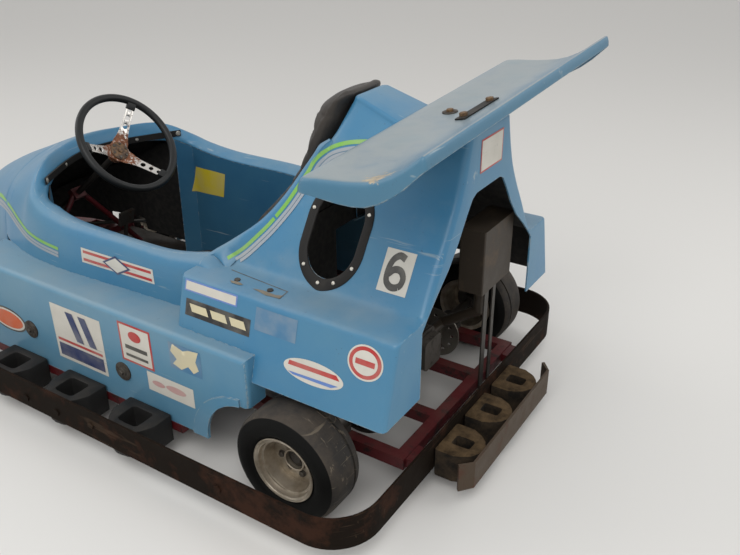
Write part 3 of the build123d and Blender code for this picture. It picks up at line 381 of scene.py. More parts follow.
def cut_away(piece, cutters):
    """Takes the cutting solids out of the piece and removes them."""
    for cutter in cutters:
        cut = piece.modifiers.new("cut", "BOOLEAN")
        cut.object = cutter
        cut.solver = "EXACT"
    shape_up(piece)
    for cutter in cutters:
        mesh = cutter.data
        bpy.data.objects.remove(cutter)
        bpy.data.meshes.remove(mesh)


def shell(piece, thickness, inner=None):
    """Gives an open surface its wall thickness, inward, with a material of its own inside if one is given."""
    wall = piece.modifiers.new("wall", "SOLIDIFY")
    wall.thickness = thickness
    wall.offset = -1.0
    wall.use_even_offset = False
    if inner:
        piece.data.materials.append(inner)
        wall.material_offset = 1


def reopened(material):
    """The tree, the shader and the colour socket of a finished material, for another layer on top."""
    shader = material.node_tree.nodes["Principled BSDF"]
    return material.node_tree, shader, shader.inputs["Base Color"].links[0].from_socket


def tree_of(piece):
    """The piece's surface as it stands, for finding places on it."""
    return BVHTree.FromObject(piece, bpy.context.evaluated_depsgraph_get())


skin = 0.004
body_rows = (
    # x from the rear axle, foot y, foot z, shoulder y, shoulder z, rim y, rim z, crown z
    (0.3605, 0.350, 0.367, 0.338, 0.494, 0.302, 0.511, 0.512),
    (0.450, 0.355, 0.367, 0.350, 0.488, 0.326, 0.501, 0.502),
    (0.600, 0.362, 0.367, 0.357, 0.489, 0.342, 0.502, 0.503),
    (0.830, 0.375, 0.367, 0.357, 0.490, 0.338, 0.504, 0.506),
    (0.940, 0.372, 0.367, 0.351, 0.500, 0.329, 0.520, 0.526),
    (1.000, 0.366, 0.367, 0.338, 0.512, 0.313, 0.543, 0.560),
    (1.060, 0.354, 0.367, 0.308, 0.519, 0.226, 0.594, 0.602),
    (1.142, 0.330, 0.367, 0.284, 0.506, 0.190, 0.572, 0.602),
    (1.185, 0.310, 0.367, 0.274, 0.492, 0.176, 0.560, 0.588),
    (1.205, 0.316, 0.240, 0.270, 0.480, 0.172, 0.555, 0.582),
    (1.300, 0.290, 0.230, 0.246, 0.430, 0.162, 0.516, 0.544),
    (1.440, 0.266, 0.202, 0.214, 0.372, 0.135, 0.455, 0.488),
    (1.560, 0.232, 0.176, 0.178, 0.310, 0.108, 0.392, 0.426),
    (1.640, 0.190, 0.155, 0.142, 0.246, 0.084, 0.318, 0.344),
    (1.676, 0.142, 0.150, 0.104, 0.196, 0.062, 0.236, 0.250),
)
nose_end = (
    # x from the rear axle, share of the last section's size
    (1.6795, 0.965), (1.6815, 0.90), (1.683, 0.78), (1.684, 0.5), (1.684, 0.02),
)
nose_middle_z = 0.196
across_steps = 6


def half_section(row):
    """Points of the body's cross-section from the crown out to the foot."""
    foot_y, foot_z, shoulder_y, shoulder_z, rim_y, rim_z, crown_z = row[1:]
    return smooth_line(((0.0, crown_z), (rim_y, rim_z), (shoulder_y, shoulder_z), (foot_y, foot_z)), across_steps,
                       before=(-rim_y, rim_z))


opening_rows = (
    # x from the rear axle, half width between the raised edges of the cockpit
    (0.3605, 0.302), (0.400, 0.314), (0.450, 0.326), (0.500, 0.335), (0.600, 0.342), (0.700, 0.341), (0.800, 0.339),
    (0.880, 0.336), (0.940, 0.329), (0.985, 0.318), (1.010, 0.302), (1.032, 0.274), (1.060, 0.226), (1.100, 0.152),
    (1.130, 0.080), (1.142, 0.0),
)
opening_half = smooth_line(opening_rows, 4, after=(1.130, -0.080))
fine_rows = smooth_line(body_rows, 6)
section_points = 26


def between_rows(rows, x):
    """A row of values at that distance from the rear axle, between the rows of a table sorted by it."""
    for start, end in zip(rows, rows[1:]):
        if x <= end[0]:
            share = max(x - start[0], 0.0) / (end[0] - start[0])
            return tuple(a + (b - a) * share for a, b in zip(start, end))
    return tuple(rows[-1])


def body_section(x):
    """Left half of the body's section there, from the crown or the cockpit's edge to the foot, evenly spaced."""
    edge_y = between_rows(opening_half, x)[1] if x < opening_half[-1][0] else 0.0
    line = half_section(between_rows(fine_rows, x))
    kept = []
    for start, end in zip(line, line[1:]):
        if not kept and end[0] > edge_y:
            share = (edge_y - start[0]) / (end[0] - start[0])
            kept.append((edge_y, start[1] + (end[1] - start[1]) * share))
        if kept:
            kept.append(end)
    lengths = [0.0]
    for start, end in zip(kept, kept[1:]):
        lengths.append(lengths[-1] + dist(start, end))
    spaced = list(zip(lengths, kept))
    section = []
    for k in range(section_points):
        goal = lengths[-1] * k / (section_points - 1)
        for (low, start), (high, end) in zip(spaced, spaced[1:]):
            if goal <= high + 1e-9:
                share = (goal - low) / max(high - low, 1e-9)
                section.append((start[0] + (end[0] - start[0]) * share, start[1] + (end[1] - start[1]) * share))
                break
    return section


stations = sorted(set([row[0] for row in smooth_line(body_rows, 4)] + [row[0] for row in opening_half]))
half_rows = [[(rear_x + x, y, z) for y, z in body_section(x)] for x in stations]
last_half = body_section(stations[-1])
for x, share in nose_end:
    half_rows.append([(rear_x + x, y * share, nose_middle_z + (z - nose_middle_z) * share) for y, z in last_half])
nose = new_piece("nose_and_surround", *both_sides(half_rows), paint_side)
skin_tree = tree_of(nose)
shell(nose, skin, inside_black_painted_shade)
shape_up(nose)
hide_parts("body_front")


def tube(path, radius, sides=16, closed=False):
    """Points and faces of a round tube along a path of points."""
    path = [Vector(point) for point in path]
    count = len(path)
    side = None
    points = []
    for i, here in enumerate(path):
        before = path[i - 1] if i or closed else here
        after = path[(i + 1) % count] if i + 1 < count or closed else here
        along = (after - before).normalized()
        if side is None:
            side = along.cross(Vector((0.0, 0.0, 1.0)) if abs(along.z) < 0.9 else Vector((1.0, 0.0, 0.0)))
        side = (side - along * side.dot(along)).normalized()
        other = along.cross(side)
        points += [here + (side * cos(2 * pi * k / sides) + other * sin(2 * pi * k / sides)) * radius
                   for k in range(sides)]
    faces = grid_faces(count, sides, round_rows=closed, round_columns=True)
    if not closed:
        faces += [tuple(range(sides)), tuple(range((count - 1) * sides, count * sides))]
    return points, faces


# Inside the raised edge a lip slopes down to the opening, flat along the sides and steep at the
# front, and it narrows to a plain curl that runs up the front edge of the cowl.
edge_start_x = 0.368
cockpit_middle = Vector((rear_x + 0.75, 0.0, 0.0))
steep_start_x = 0.94
steep_run = 0.12
curl_start = -40
curl_step = 29
curl_rows = 10
curl_lift = 0.35
lip_profile = (
    # distance inward from the edge, height over it
    (-0.006, -0.0045), (-0.002, -0.0006), (0.003, 0.0004), (0.009, -0.0006), (0.018, -0.0034), (0.028, -0.0080),
    (0.037, -0.0128), (0.0415, -0.0165), (0.0425, -0.0210), (0.0400, -0.0240), (0.0360, -0.0235),
)
front_in_share = 0.50
front_drop_share = 2.3
cowl_edge_line = (
    # x from the rear axle, y, z of the ridge up the cowl's front edge, its radius
    (0.3605, 0.302, 0.511, 0.012), (0.342, 0.2925, 0.521, 0.012), (0.306, 0.262, 0.545, 0.012),
    (0.250, 0.222, 0.592, 0.012), (0.206, 0.183, 0.652, 0.012), (0.172, 0.149, 0.714, 0.013),
    (0.150, 0.137, 0.750, 0.013), (0.136, 0.130, 0.774, 0.012), (0.122, 0.114, 0.788, 0.007),
)
upright = Vector((0.0, 0.0, 1.0))
edge_line = [Vector((rear_x + x, y, body_section(x)[0][1])) for x, y in opening_half if x > edge_start_x]
inward_ways = []
edge_rows = []
for i, here in enumerate(edge_line):
    before, after = beside(edge_line, i)
    along = Vector((after.x - before.x, after.y - before.y, 0.0)) if after is not here else Vector((0.0, -1.0, 0.0))
    inward = along.normalized().cross(upright)
    if inward.dot(cockpit_middle - Vector((here.x, here.y, 0.0))) < 0:
        inward = -inward
    steep = min(max((here.x - rear_x - steep_start_x) / steep_run, 0.0), 1.0)
    wide = 1 + (front_in_share - 1) * steep
    deep = 1 + (front_drop_share - 1) * steep
    inward_ways.append(inward)
    edge_rows.append([here + inward * a * wide + upright * b * (deep if b < 0 else 1) for a, b in lip_profile])
inner_line = [(row[8].x - rear_x, row[8].y, row[8].z) for row in edge_rows]
side_up = Vector((0.35, 0.75, 0.55)).normalized()
ridge = smooth_line(cowl_edge_line, 5)
lead = []
for i, (x, y, z, size) in enumerate(ridge):
    share = min(i / curl_rows, 1.0)
    place = Vector((rear_x + x, y, z)) + side_up * size * curl_lift * share
    lead.append((place, upright.lerp(side_up, share).normalized(), size))
lead_rows = []
lead_inward = []
for i, (here, up_way, size) in enumerate(lead):
    before, after = beside(lead, i)
    inward = (after[0] - before[0]).normalized().cross(up_way)
    if inward.dot(cockpit_middle + upright * here.z - here) < 0:
        inward = -inward
    lead_inward.append(inward)
    share = min(i / curl_rows, 1.0)
    row = []
    for k, (a, b) in enumerate(lip_profile):
        angle = radians(curl_start + curl_step * k)
        curl_in, curl_up = sin(angle) * size, (cos(angle) - 1) * size
        row.append(here + inward * (a + (curl_in - a) * share) + up_way * (b + (curl_up - b) * share))
    lead_rows.append(row)
edge_rows = lead_rows[::-1] + edge_rows
points = []
for side in (1, -1):
    for row in edge_rows if side == 1 else edge_rows[-2::-1]:
        points += [(place.x, side * place.y, place.z) for place in row]
new_piece("rolled_edge", points, grid_faces(2 * len(edge_rows) - 1, len(lip_profile)), paint_side, crease=70.0)


# Cowl and side boxes.
# The tall rear moulding tapers up from two flat shelves over the rear wheels, with an oval window
# in each side, a rear opening for the engine and a flared outer wall that hangs over each wheel.
cowl_rows = (
    # height, half width, front x from the rear axle, corner radius, narrowing towards the front
    (0.856, 0.103, 0.092, 0.016, 0.38), (0.830, 0.108, 0.104, 0.016, 0.24), (0.800, 0.116, 0.119, 0.018, 0.10),
    (0.770, 0.125, 0.136, 0.018, 0.03), (0.720, 0.144, 0.168, 0.018, 0.0), (0.660, 0.178, 0.203, 0.018, 0.0),
    (0.600, 0.218, 0.244, 0.018, 0.0), (0.530, 0.262, 0.318, 0.018, 0.0), (0.508, 0.2765, 0.336, 0.016, 0.0),
    (0.4990, 0.284, 0.344, 0.016, 0.0), (0.4950, 0.2915, 0.349, 0.016, 0.0), (0.4930, 0.300, 0.352, 0.015, 0.0),
)
shelf_rows = (
    (0.4922, 0.316, 0.358, 0.014), (0.492, 0.350, 0.364, 0.014), (0.492, 0.380, 0.368, 0.014),
    (0.4905, 0.3885, 0.370, 0.014), (0.486, 0.3938, 0.370, 0.014), (0.479, 0.396, 0.370, 0.014),
    (0.440, 0.407, 0.370, 0.014), (0.400, 0.418, 0.370, 0.014), (0.350, 0.432, 0.370, 0.014),
    (0.302, 0.445, 0.370, 0.014),
)
top_round = (
    # share of the top radius: height below the crest, distance in from the wall
    (1.0, 0.0), (0.62, 0.076), (0.29, 0.29), (0.076, 0.62), (0.0, 1.0),
)
top_radius = 0.010
cowl_rear_x = -0.232
cowl_crest = ((-0.232, 0.856), (-0.110, 0.856), (-0.072, 0.839), (-0.048, 0.842), (0.074, 0.884), (0.130, 0.885))
top_half = 0.1025
top_front_x = 0.0905
end_steps = 4
side_steps = 16
corner_steps = 5


def half_loop(half, front, corner, narrow, low_x=cowl_rear_x):
    """Left half of a rounded rectangle seen from above, from rear middle to front middle, narrowed forward."""
    turns = [pi / 2 * k / corner_steps for k in range(corner_steps + 1)]
    loop = [(low_x, (half - corner) * k / end_steps) for k in range(end_steps)]
    loop += [(low_x + corner * (1 - cos(turn)), half - corner * (1 - sin(turn))) for turn in turns]
    run = front - low_x - 2 * corner
    loop += [(low_x + corner + run * k / side_steps, half) for k in range(1, side_steps)]
    loop += [(front - corner * (1 - sin(turn)), half - corner * (1 - cos(turn))) for turn in turns]
    loop += [(front, (half - corner) * (1 - k / end_steps)) for k in range(1, end_steps + 1)]
    return [(x, y * (1 - narrow * (x - low_x) / (front - low_x))) for x, y in loop]


loops = []
for lift, inset in reversed(top_round):
    give = inset * top_radius
    loops.append([(x, y, None, lift * top_radius)
                  for x, y in half_loop(top_half - give, top_front_x - give, 0.016, 0.38, cowl_rear_x + give)])
for z, half, front, corner, narrow in smooth_line(cowl_rows, 3) + [(*row, 0.0) for row in shelf_rows]:
    loops.append([(x, y, z, None) for x, y in half_loop(half, front, corner, narrow)])
# Above this height the straight levels are moved so that the last one ends just below the crest.
taper_start_z = 0.80
taper_height = 0.056
points = []
for loop in loops:
    line = []
    for x, y, z, below in loop:
        crest = between_rows(cowl_crest, x)[1]
        if z is None:
            z = crest - below
        elif z > taper_start_z:
            z = taper_start_z + (crest - top_radius - 0.003 - taper_start_z) * (z - taper_start_z) / taper_height
        line.append((rear_x + x, y, z))
    points += line + [(x, -y, z) for x, y, z in reversed(line[1:-1])]
across = len(points) // len(loops)
half_count = len(loops[0])
faces = grid_faces(len(loops), across, round_columns=True)
faces.append((0, 1, across - 1))
faces += [(i, i + 1, across - i - 1, across - i) for i in range(1, half_count - 1)]
rear_moulding = new_piece("cowl_and_side_boxes", points, [face for face in faces if len(set(face)) > 2], paint_side)
moulding_tree = tree_of(rear_moulding)
moulding_shape = ([vert.co.copy() for vert in rear_moulding.data.vertices],
                  [tuple(face.vertices) for face in rear_moulding.data.polygons])
shell(rear_moulding, skin, inside_black_painted_shade)
window_x = rear_x + 0.042
window_z = 0.607
window_half_w = 0.0665
window_half_h = 0.0915


def slot_line(half_w, half_h, count):
    """Outline of an upright slot with round ends, centred on the window, as x and z."""
    straight = half_h - half_w
    line = []
    for k in range(count):
        angle = 2 * pi * k / count
        z = sin(angle) * half_w
        line.append((window_x + cos(angle) * half_w, window_z + z + (straight if sin(angle) >= 0 else -straight)))
    return line


rear_gap = (
    # y, z of the edge of the opening in the rear wall, left side
    (0.295, 0.29), (0.292, 0.470), (0.270, 0.494), (0.232, 0.530), (0.180, 0.574), (0.140, 0.620), (0.104, 0.672),
    (0.080, 0.703), (0.060, 0.712),
)
gap_outline = list(rear_gap) + [(-y, z) for y, z in reversed(rear_gap)]
# From the front of the wheel on, the wall's foot is higher, level with the surround's foot.
notch_rear_x = rear_x + 0.1247
notch_front_x = rear_x + 0.41
notch_low = 0.29
notch_high = 0.3673
wheel_side = [(notch_rear_x, notch_low), (notch_rear_x, notch_high), (notch_front_x, notch_high),
              (notch_front_x, notch_low)]


def oval_shape(x, z, half_w, half_h, count=36):
    """Outline of an oval about a centre."""
    return [(x + half_w * cos(2 * pi * k / count), z + half_h * sin(2 * pi * k / count)) for k in range(count)]


shelf_bolt_places = [(x, side * 0.345) for x in (0.136, 0.234) for side in (-1, 1)]
hole_radius = 0.0045
bolt_holes = [prism(oval_shape(rear_x + x, y, hole_radius, hole_radius, 12), "z", 0.46, 0.52)
              for x, y in shelf_bolt_places]
cut_away(rear_moulding, [
    prism(slot_line(window_half_w, window_half_h, 48), "y", -0.4, 0.4),
    prism(gap_outline, "x", rear_x + cowl_rear_x - 0.02, rear_x + cowl_rear_x + 0.02),
    prism(wheel_side, "y", -0.5, 0.5), *bolt_holes,
])
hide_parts("cowl", "side_box_left", "side_box_right")


def joined(parts):
    """Points and faces of several shapes listed as one."""
    points, faces = [], []
    for some_points, some_faces in parts:
        faces += [tuple(index + len(points) for index in face) for face in some_faces]
        points += some_points
    return points, faces


# The surround's edge runs on into the shelf and up the cowl through a broad fillet.
fairing_steps = 10
fairing_run = 0.055
fairing_width = 0.036
fairing_start_x = 0.364
turn_rows = 12
fade_rows = 9
backward = Vector((-1.0, 0.0, 0.0))
starts = [(Vector((rear_x + fairing_start_x, y, z)), backward, backward * fairing_run)
          for y, z in reversed(body_section(body_rows[0][0])[1:8])]
for i, ((here, up_way, size), inward) in enumerate(zip(lead, lead_inward)):
    outward_way = -inward if inward.x > 0 else inward
    share = min(i / turn_rows, 1.0)
    leave = backward.lerp(outward_way, share).normalized()
    width = fairing_run + (fairing_width - fairing_run) * share
    width *= min((len(lead) - 1 - i) / fade_rows + 0.12, 1.0)
    starts.append((here - up_way * 0.0004, leave, leave * width))
fairing_shapes = []
for side in (1, -1):
    points = []
    for here, leave, reach in starts:
        landing, normal = moulding_tree.find_nearest(here + reach)[:2]
        arrive = landing - here
        arrive = (arrive - normal * arrive.dot(normal)).normalized()
        length = (landing - here).length
        landing = landing - normal * 0.0008
        for k in range(fairing_steps + 1):
            t = k / fairing_steps
            place = (here * (2 * t ** 3 - 3 * t ** 2 + 1) + leave * length * (t ** 3 - 2 * t ** 2 + t)
                     + landing * (3 * t ** 2 - 2 * t ** 3) + arrive * length * (t ** 3 - t ** 2))
            points.append(Vector((place.x, side * place.y, place.z)))
    fairing_shapes.append((points, grid_faces(len(starts), fairing_steps + 1)))
new_piece("cowl_fairings", *joined(fairing_shapes), paint_side, crease=70.0)
cowl_tree = BVHTree.FromPolygons(*joined([moulding_shape, *fairing_shapes]))


# Window trims.
# A flat black rubber strip round each oval window, pressed over the cut edge of the moulding
# and held by small pop rivets.
def stud(centre, normal, radius, height, sides=12, flat=0.0):
    """A domed rivet or, with a flat share, a bolt head that stands on a surface at that point."""
    centre, normal = Vector(centre), Vector(normal).normalized()
    side = normal.orthogonal().normalized()
    other = normal.cross(side)
    rings = [(1.0, -0.2), (1.0, 0.35 + 0.5 * flat), (0.86 + 0.08 * flat, 0.8 + 0.15 * flat), (0.45, 1.0)]
    points = []
    for wide, lift in rings:
        points += [centre + normal * height * lift
                   + (side * cos(2 * pi * k / sides) + other * sin(2 * pi * k / sides)) * radius * wide
                   for k in range(sides)]
    faces = grid_faces(len(rings), sides, round_columns=True)
    faces.append(tuple(range((len(rings) - 1) * sides, len(rings) * sides)))
    return points, faces


def stacked(centre, way, heads):
    """Flat heads that stand on each other at that point: radius, height and number of sides of each."""
    shapes = []
    lift = 0.0
    for radius, height, sides in heads:
        shapes.append(stud(centre + way * lift, way, radius, height, sides=sides, flat=1.0))
        lift += height
    return shapes


def on_wall(x, z, side):
    """Point and normal of the moulding's outer wall on that side."""
    outside = Vector((x, side * 0.6, z))
    return moulding_tree.ray_cast(outside, Vector((0.0, -side, 0.0)))[:2]


def black_rubber(name, base, dusty, roughness=0.62, dust_cover=0.02, shine=0.3):
    """Black rubber or moulded plastic with grey dust in patches and a fine grain."""
    material, tree, shader = blank_material(name)
    dust = effect(tree, dust_group, Scale=14.0, Cover=dust_cover, Upward=0.3)
    feed(tree, shader, {"Base Color": mixed(tree, dust, base, dusty), "Roughness": roughness,
                        "Specular IOR Level": shine, "Normal": bumped(tree, noise(tree, 320.0), 0.25, 0.0005)})
    return material


trim_black = black_rubber("trim_black", colour(25, 23, 21), colour(80, 74, 64))
rivet_metal = mottled("rivet_aluminium", colour(214, 210, 200), colour(150, 142, 128), 300.0, 2.0, 0.4, 0.7,
                      metallic=0.8, roughness=0.42)
trim_height = 0.0036
trim_section = (
    # distance out from the window's edge, height over the moulding
    (-0.0015, -0.003), (-0.0015, 0.0022), (0.0015, trim_height), (0.0175, trim_height), (0.0205, 0.0018),
    (0.0205, -0.0008),
)
trim_steps = 72
rivet_out = 0.0095
rivet_turns = (10, 50, 62, 118, 162, 205, 244, 275, 320)
rivets = []
rings = []
trim_lines = [slot_line(window_half_w + out_by, window_half_h + out_by, trim_steps) for out_by, lift in trim_section]
rivet_line = slot_line(window_half_w + rivet_out, window_half_h + rivet_out, 360)
for side in (-1, 1):
    points = []
    for k in range(trim_steps):
        for line, (out_by, lift) in zip(trim_lines, trim_section):
            here, normal = on_wall(*line[k], side)
            points.append(here + normal * lift)
    rings.append((points, grid_faces(trim_steps, len(trim_section), round_rows=True, round_columns=True)))
    for turn in rivet_turns:
        here, normal = on_wall(*rivet_line[turn], side)
        rivets.append(stud(here + normal * trim_height, normal, 0.0047, 0.0022))
trims = new_piece("window_trim_rings", *joined(rings), trim_black, finish="black_trim")
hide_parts("window_trims")
new_piece("window_rivets", *joined(rivets), rivet_metal, finish="plain_steel")


# Cockpit walls.
# The inner face of the body round the driver, one wall on each side and one behind the seat,
# in the same blue painted darker as painted shade, with a rubber strip screwed along the front lip
# and black panels beside the legs that stand for the shade under the nose (painted shade).
wall_front_x = 1.020
wall_back_x = 0.3775
wall_corner = 0.055
wall_foot = 0.1265
wall_foot_y = 0.296
wall_gap = 0.002
wall_levels = (0.0, 0.12, 0.3, 0.5, 0.7, 0.86, 0.95, 1.0)
wall_steps = 14
wall_corner_steps = 6
wall_back_steps = 4
wall_plan = []
for k in range(wall_steps + 1):
    x = wall_front_x - (wall_front_x - wall_back_x - wall_corner) * k / wall_steps
    half, top = between_rows(inner_line, x)[1:]
    wall_plan.append((x, x, half + wall_gap, min(wall_foot_y, half - 2 * wall_gap), top + wall_gap))
half, top = wall_plan[-1][2], wall_plan[-1][4]
back_top_x = 0.362
back_drop = 0.030
for k in range(1, wall_corner_steps + 1):
    angle = pi / 2 * k / wall_corner_steps
    corner_x = wall_back_x + wall_corner * (1 - sin(angle))
    give = wall_corner * (1 - cos(angle))
    wall_plan.append((corner_x + (back_top_x - wall_back_x) * k / wall_corner_steps, corner_x, half - give,
                      wall_foot_y - give, top - back_drop * k / wall_corner_steps))
for k in range(1, wall_back_steps + 1):
    wall_plan.append((back_top_x, wall_back_x, (half - wall_corner) * (1 - k / wall_back_steps),
                      (wall_foot_y - wall_corner) * (1 - k / wall_back_steps), top - back_drop))
points = []
for side, row in [(1, row) for row in wall_plan] + [(-1, row) for row in reversed(wall_plan[:-1])]:
    top_x, foot_x, top_y, foot_y, top_z = row
    for level in wall_levels:
        x, y = top_x + (foot_x - top_x) * level, top_y + (foot_y - top_y) * level
        points.append((rear_x + x, side * y, top_z + (wall_foot - top_z) * level))
walls = new_piece("cockpit_walls", points, grid_faces(2 * len(wall_plan) - 1, len(wall_levels)), inside_black_painted_shade,
                  outward=False)
shell(walls, 0.003, paint_inside_painted_shade)
shape_up(walls)
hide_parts("cockpit_liner")

strip_top = 0.566
strip_height = 0.019
strip_end_x = rear_x + 1.022
strip_inset = 0.0235
screw_inset = 0.027
strip_line = [(here, inward) for here, inward in zip(edge_line, inward_ways) if here.x > strip_end_x]
strip_path = strip_line + [(Vector((here.x, -here.y, here.z)), Vector((inward.x, -inward.y, 0.0)))
                           for here, inward in reversed(strip_line[:-1])]
points = []
for here, inward in strip_path:
    points += [here + inward * strip_inset + upright * (z - here.z) for z in (strip_top, strip_top - strip_height)]
strip = new_piece("cockpit_edge_strip", points, grid_faces(len(strip_path), 2), trim_black, finish="black_trim")
shell(strip, 0.005)
shape_up(strip)
screw_parts = []
last = len(strip_path) - 2
for k in (1, 1 + last // 4, last - last // 4, last):
    here, inward = strip_path[k]
    place = here + inward * screw_inset + upright * (strip_top - strip_height / 2 - here.z)
    screw_parts.append(stud(place, inward, 0.0085 if k in (1, last) else 0.0055, 0.003))
new_piece("cockpit_strip_screws", *joined(screw_parts), rivet_metal, finish="plain_steel")
# Painted shade: dark panels beside the legs that stand for the shade under the nose, where the floor would show.
leg_panel_rows = (
    # x from the rear axle, y and z of the upper edge, y and z of the lower edge
    (1.020, 0.268, 0.515, 0.290, 0.140), (1.070, 0.272, 0.515, 0.294, 0.140), (1.120, 0.272, 0.498, 0.294, 0.140),
    (1.200, 0.258, 0.450, 0.284, 0.145), (1.244, 0.248, 0.430, 0.278, 0.150), (1.246, 0.248, 0.430, 0.274, 0.198),
    (1.300, 0.232, 0.405, 0.268, 0.198), (1.391, 0.210, 0.362, 0.248, 0.198), (1.393, 0.210, 0.362, 0.252, 0.150),
    (1.500, 0.184, 0.315, 0.236, 0.150), (1.560, 0.164, 0.286, 0.214, 0.150), (1.620, 0.134, 0.240, 0.184, 0.150),
)
panel_rows = [[(rear_x + x, top_y, top_z), (rear_x + x, foot_y, foot_z)]
              for x, top_y, top_z, foot_y, foot_z in leg_panel_rows]
leg_panels_painted_shade = new_piece("leg_panels_painted_shade", *both_sides(panel_rows), inside_black_painted_shade)
shell(leg_panels_painted_shade, 0.0025)
shape_up(leg_panels_painted_shade)


# Side pods.
# Long hollow boxes beside the cockpit with rounded edges and a raised rib round the wheel arch,
# bolted to the outrigger rails through large washers.
def dress(material, *names):
    """Gives nodes of the frame a better material."""
    for name in names:
        node[name].data.materials.clear()
        node[name].data.materials.append(material)


def fittings(name, parts, material, body="chassis"):
    """Small steel parts as one piece."""
    new_piece(name, *joined(parts), material, body, "plain_steel", 30.0)


dress(paint_low, "body_pod_left", "body_pod_right")
steel_dark = mottled("dull_steel", colour(88, 84, 78), colour(58, 48, 40), 60.0, 5.0, 0.4, 0.65, metallic=0.55,
                     roughness=(0.42, 0.7))
pod_y = 0.463
washer_places = ((0.916, 0.200), (0.548, 0.192))
washer_heads = ((0.0265, 0.004, 40), (0.0125, 0.003, 24), (0.0075, 0.006, 6))
parts = []
for side in (-1, 1):
    for x, z in washer_places:
        parts += stacked(Vector((rear_x + x, side * pod_y, z)), Vector((0.0, side, 0.0)), washer_heads)
fittings("pod_washers", parts, steel_dark)


# Stickers, plates and stripes.
# Vinyl cut-outs in plain shapes and bands laid on the body, faded and scuffed, a white number
# plate with a 6 on each side of the cowl, and a green and two grey lines along its front edge.
def vinyl(name, base, worn_share):
    """Printed vinyl: a little faded in clouds, scuffed and dusty."""
    material, tree, shader = blank_material("vinyl_" + name)
    clouds = noise(tree, 18.0, 4.0)
    faded = mixed(tree, between(tree, clouds, 0.35, 0.75, 0.0, 0.35), base, colour(176, 172, 160))
    marks = maths(tree, "MULTIPLY", effect(tree, scratch_group, Scale=55.0, Cover=0.33, Slant=0.3), worn_share)
    feed(tree, shader, {"Base Color": mixed(tree, marks, faded, colour(120, 118, 108)),
                        "Roughness": between(tree, clouds, 0.3, 0.7, 0.35, 0.55)})
    return material


vinyl_tones = (
    # name, red, green, blue, how much of the scuffs shows
    ("white", 206, 202, 192, 0.4), ("navy", 38, 52, 96, 0.4), ("red", 176, 46, 44, 0.4), ("black", 30, 30, 32, 0.4),
    ("orange", 206, 92, 44, 0.4), ("cream", 204, 194, 160, 0.4), ("deep_blue", 66, 116, 152, 0.2),
    ("green", 120, 178, 74, 0.2), ("pink", 190, 150, 146, 0.4), ("yellow", 196, 176, 44, 0.4),
    ("primer", 116, 104, 86, 0.4), ("tar", 66, 58, 50, 0.4), ("pale_grey", 150, 158, 166, 0.2),
    ("blue", 70, 116, 190, 0.4),
)
vinyls = {name: vinyl(name, colour(red, green, blue), share) for name, red, green, blue, share in vinyl_tones}


def box_shape(low, high, low_z, high_z, lean=0.0):
    """Four corners of a flat shape, in distances from the rear axle and heights, leaning forward as it rises."""
    return [(low, low_z), (high, low_z), (high + lean, high_z), (low + lean, high_z)]


sticker_lift = 0.0005
layer_lift = 0.0003


def sticker(name, surface, shapes, look="left", step=0.014):
    """Flat shapes laid on a surface one over the other, seen from that side: each is a colour and an outline."""
    start, way, order = {
        "left": (0.9, Vector((0.0, -1.0, 0.0)), lambda a, b, c: Vector((rear_x + a, c, b))),
        "right": (-0.9, Vector((0.0, 1.0, 0.0)), lambda a, b, c: Vector((rear_x + a, c, b))),
        "top": (1.4, Vector((0.0, 0.0, -1.0)), lambda a, b, c: Vector((rear_x + a, b, c))),
        "back": (-2.0, Vector((1.0, 0.0, 0.0)), lambda a, b, c: Vector((c, a, b))),
        "right_wall": (0.0, Vector((0.0, -1.0, 0.0)), lambda a, b, c: Vector((rear_x + a, c, b))),
    }[look]
    mesh = bpy.data.meshes.new(name)
    made = bmesh.new()
    for layer, (tone, outline) in enumerate(shapes):
        if vinyls[tone].name not in mesh.materials:
            mesh.materials.append(vinyls[tone])
        sheet = bmesh.new()
        sheet.faces.new([sheet.verts.new((a, b, 0.0)) for a, b in outline])
        for axis in (0, 1):
            values = [point[axis] for point in outline]
            cuts = int((max(values) - min(values)) / step)
            for k in range(1, cuts + 1):
                place = [0.0, 0.0, 0.0]
                place[axis] = min(values) + k * step
                normal = [0.0, 0.0, 0.0]
                normal[axis] = 1.0
                bmesh.ops.bisect_plane(sheet, geom=list(sheet.verts) + list(sheet.edges) + list(sheet.faces),
                                       plane_co=place, plane_no=normal)
        bmesh.ops.triangulate(sheet, faces=[face for face in sheet.faces if len(face.verts) > 4])
        made_points = {}
        for vert in sheet.verts:
            hit = surface.ray_cast(order(vert.co.x, vert.co.y, start), way)
            if hit[0]:
                outside = hit[1] if hit[1].dot(way) < 0 else -hit[1]
                made_points[vert] = made.verts.new(hit[0] + outside * (sticker_lift + layer_lift * layer))
        for face in sheet.faces:
            if all(vert in made_points for vert in face.verts):
                laid = made.faces.new([made_points[vert] for vert in face.verts])
                laid.material_index = mesh.materials.find(vinyls[tone].name)
                laid.normal_update()
                if laid.normal.dot(way) > 0:
                    laid.normal_flip()
        sheet.free()
    made.to_mesh(mesh)
    made.free()
    mesh.shade_smooth()
    piece = bpy.data.objects.new(name, mesh)
    scene.collection.objects.link(piece)
    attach(piece, "chassis")


def stroke(line, width, shift=0.0):
    """Outline of a band of that width along a line, moved sideways by shift."""
    left, right_side = [], []
    for i, here in enumerate(line):
        before, after = beside(line, i)
        along = Vector((after[0] - before[0], after[1] - before[1])).normalized()
        across_way = Vector((-along.y, along.x))
        base = Vector(here[:2]) + across_way * shift
        left.append(tuple(base + across_way * width / 2))
        right_side.append(tuple(base - across_way * width / 2))
    return left + right_side[::-1]


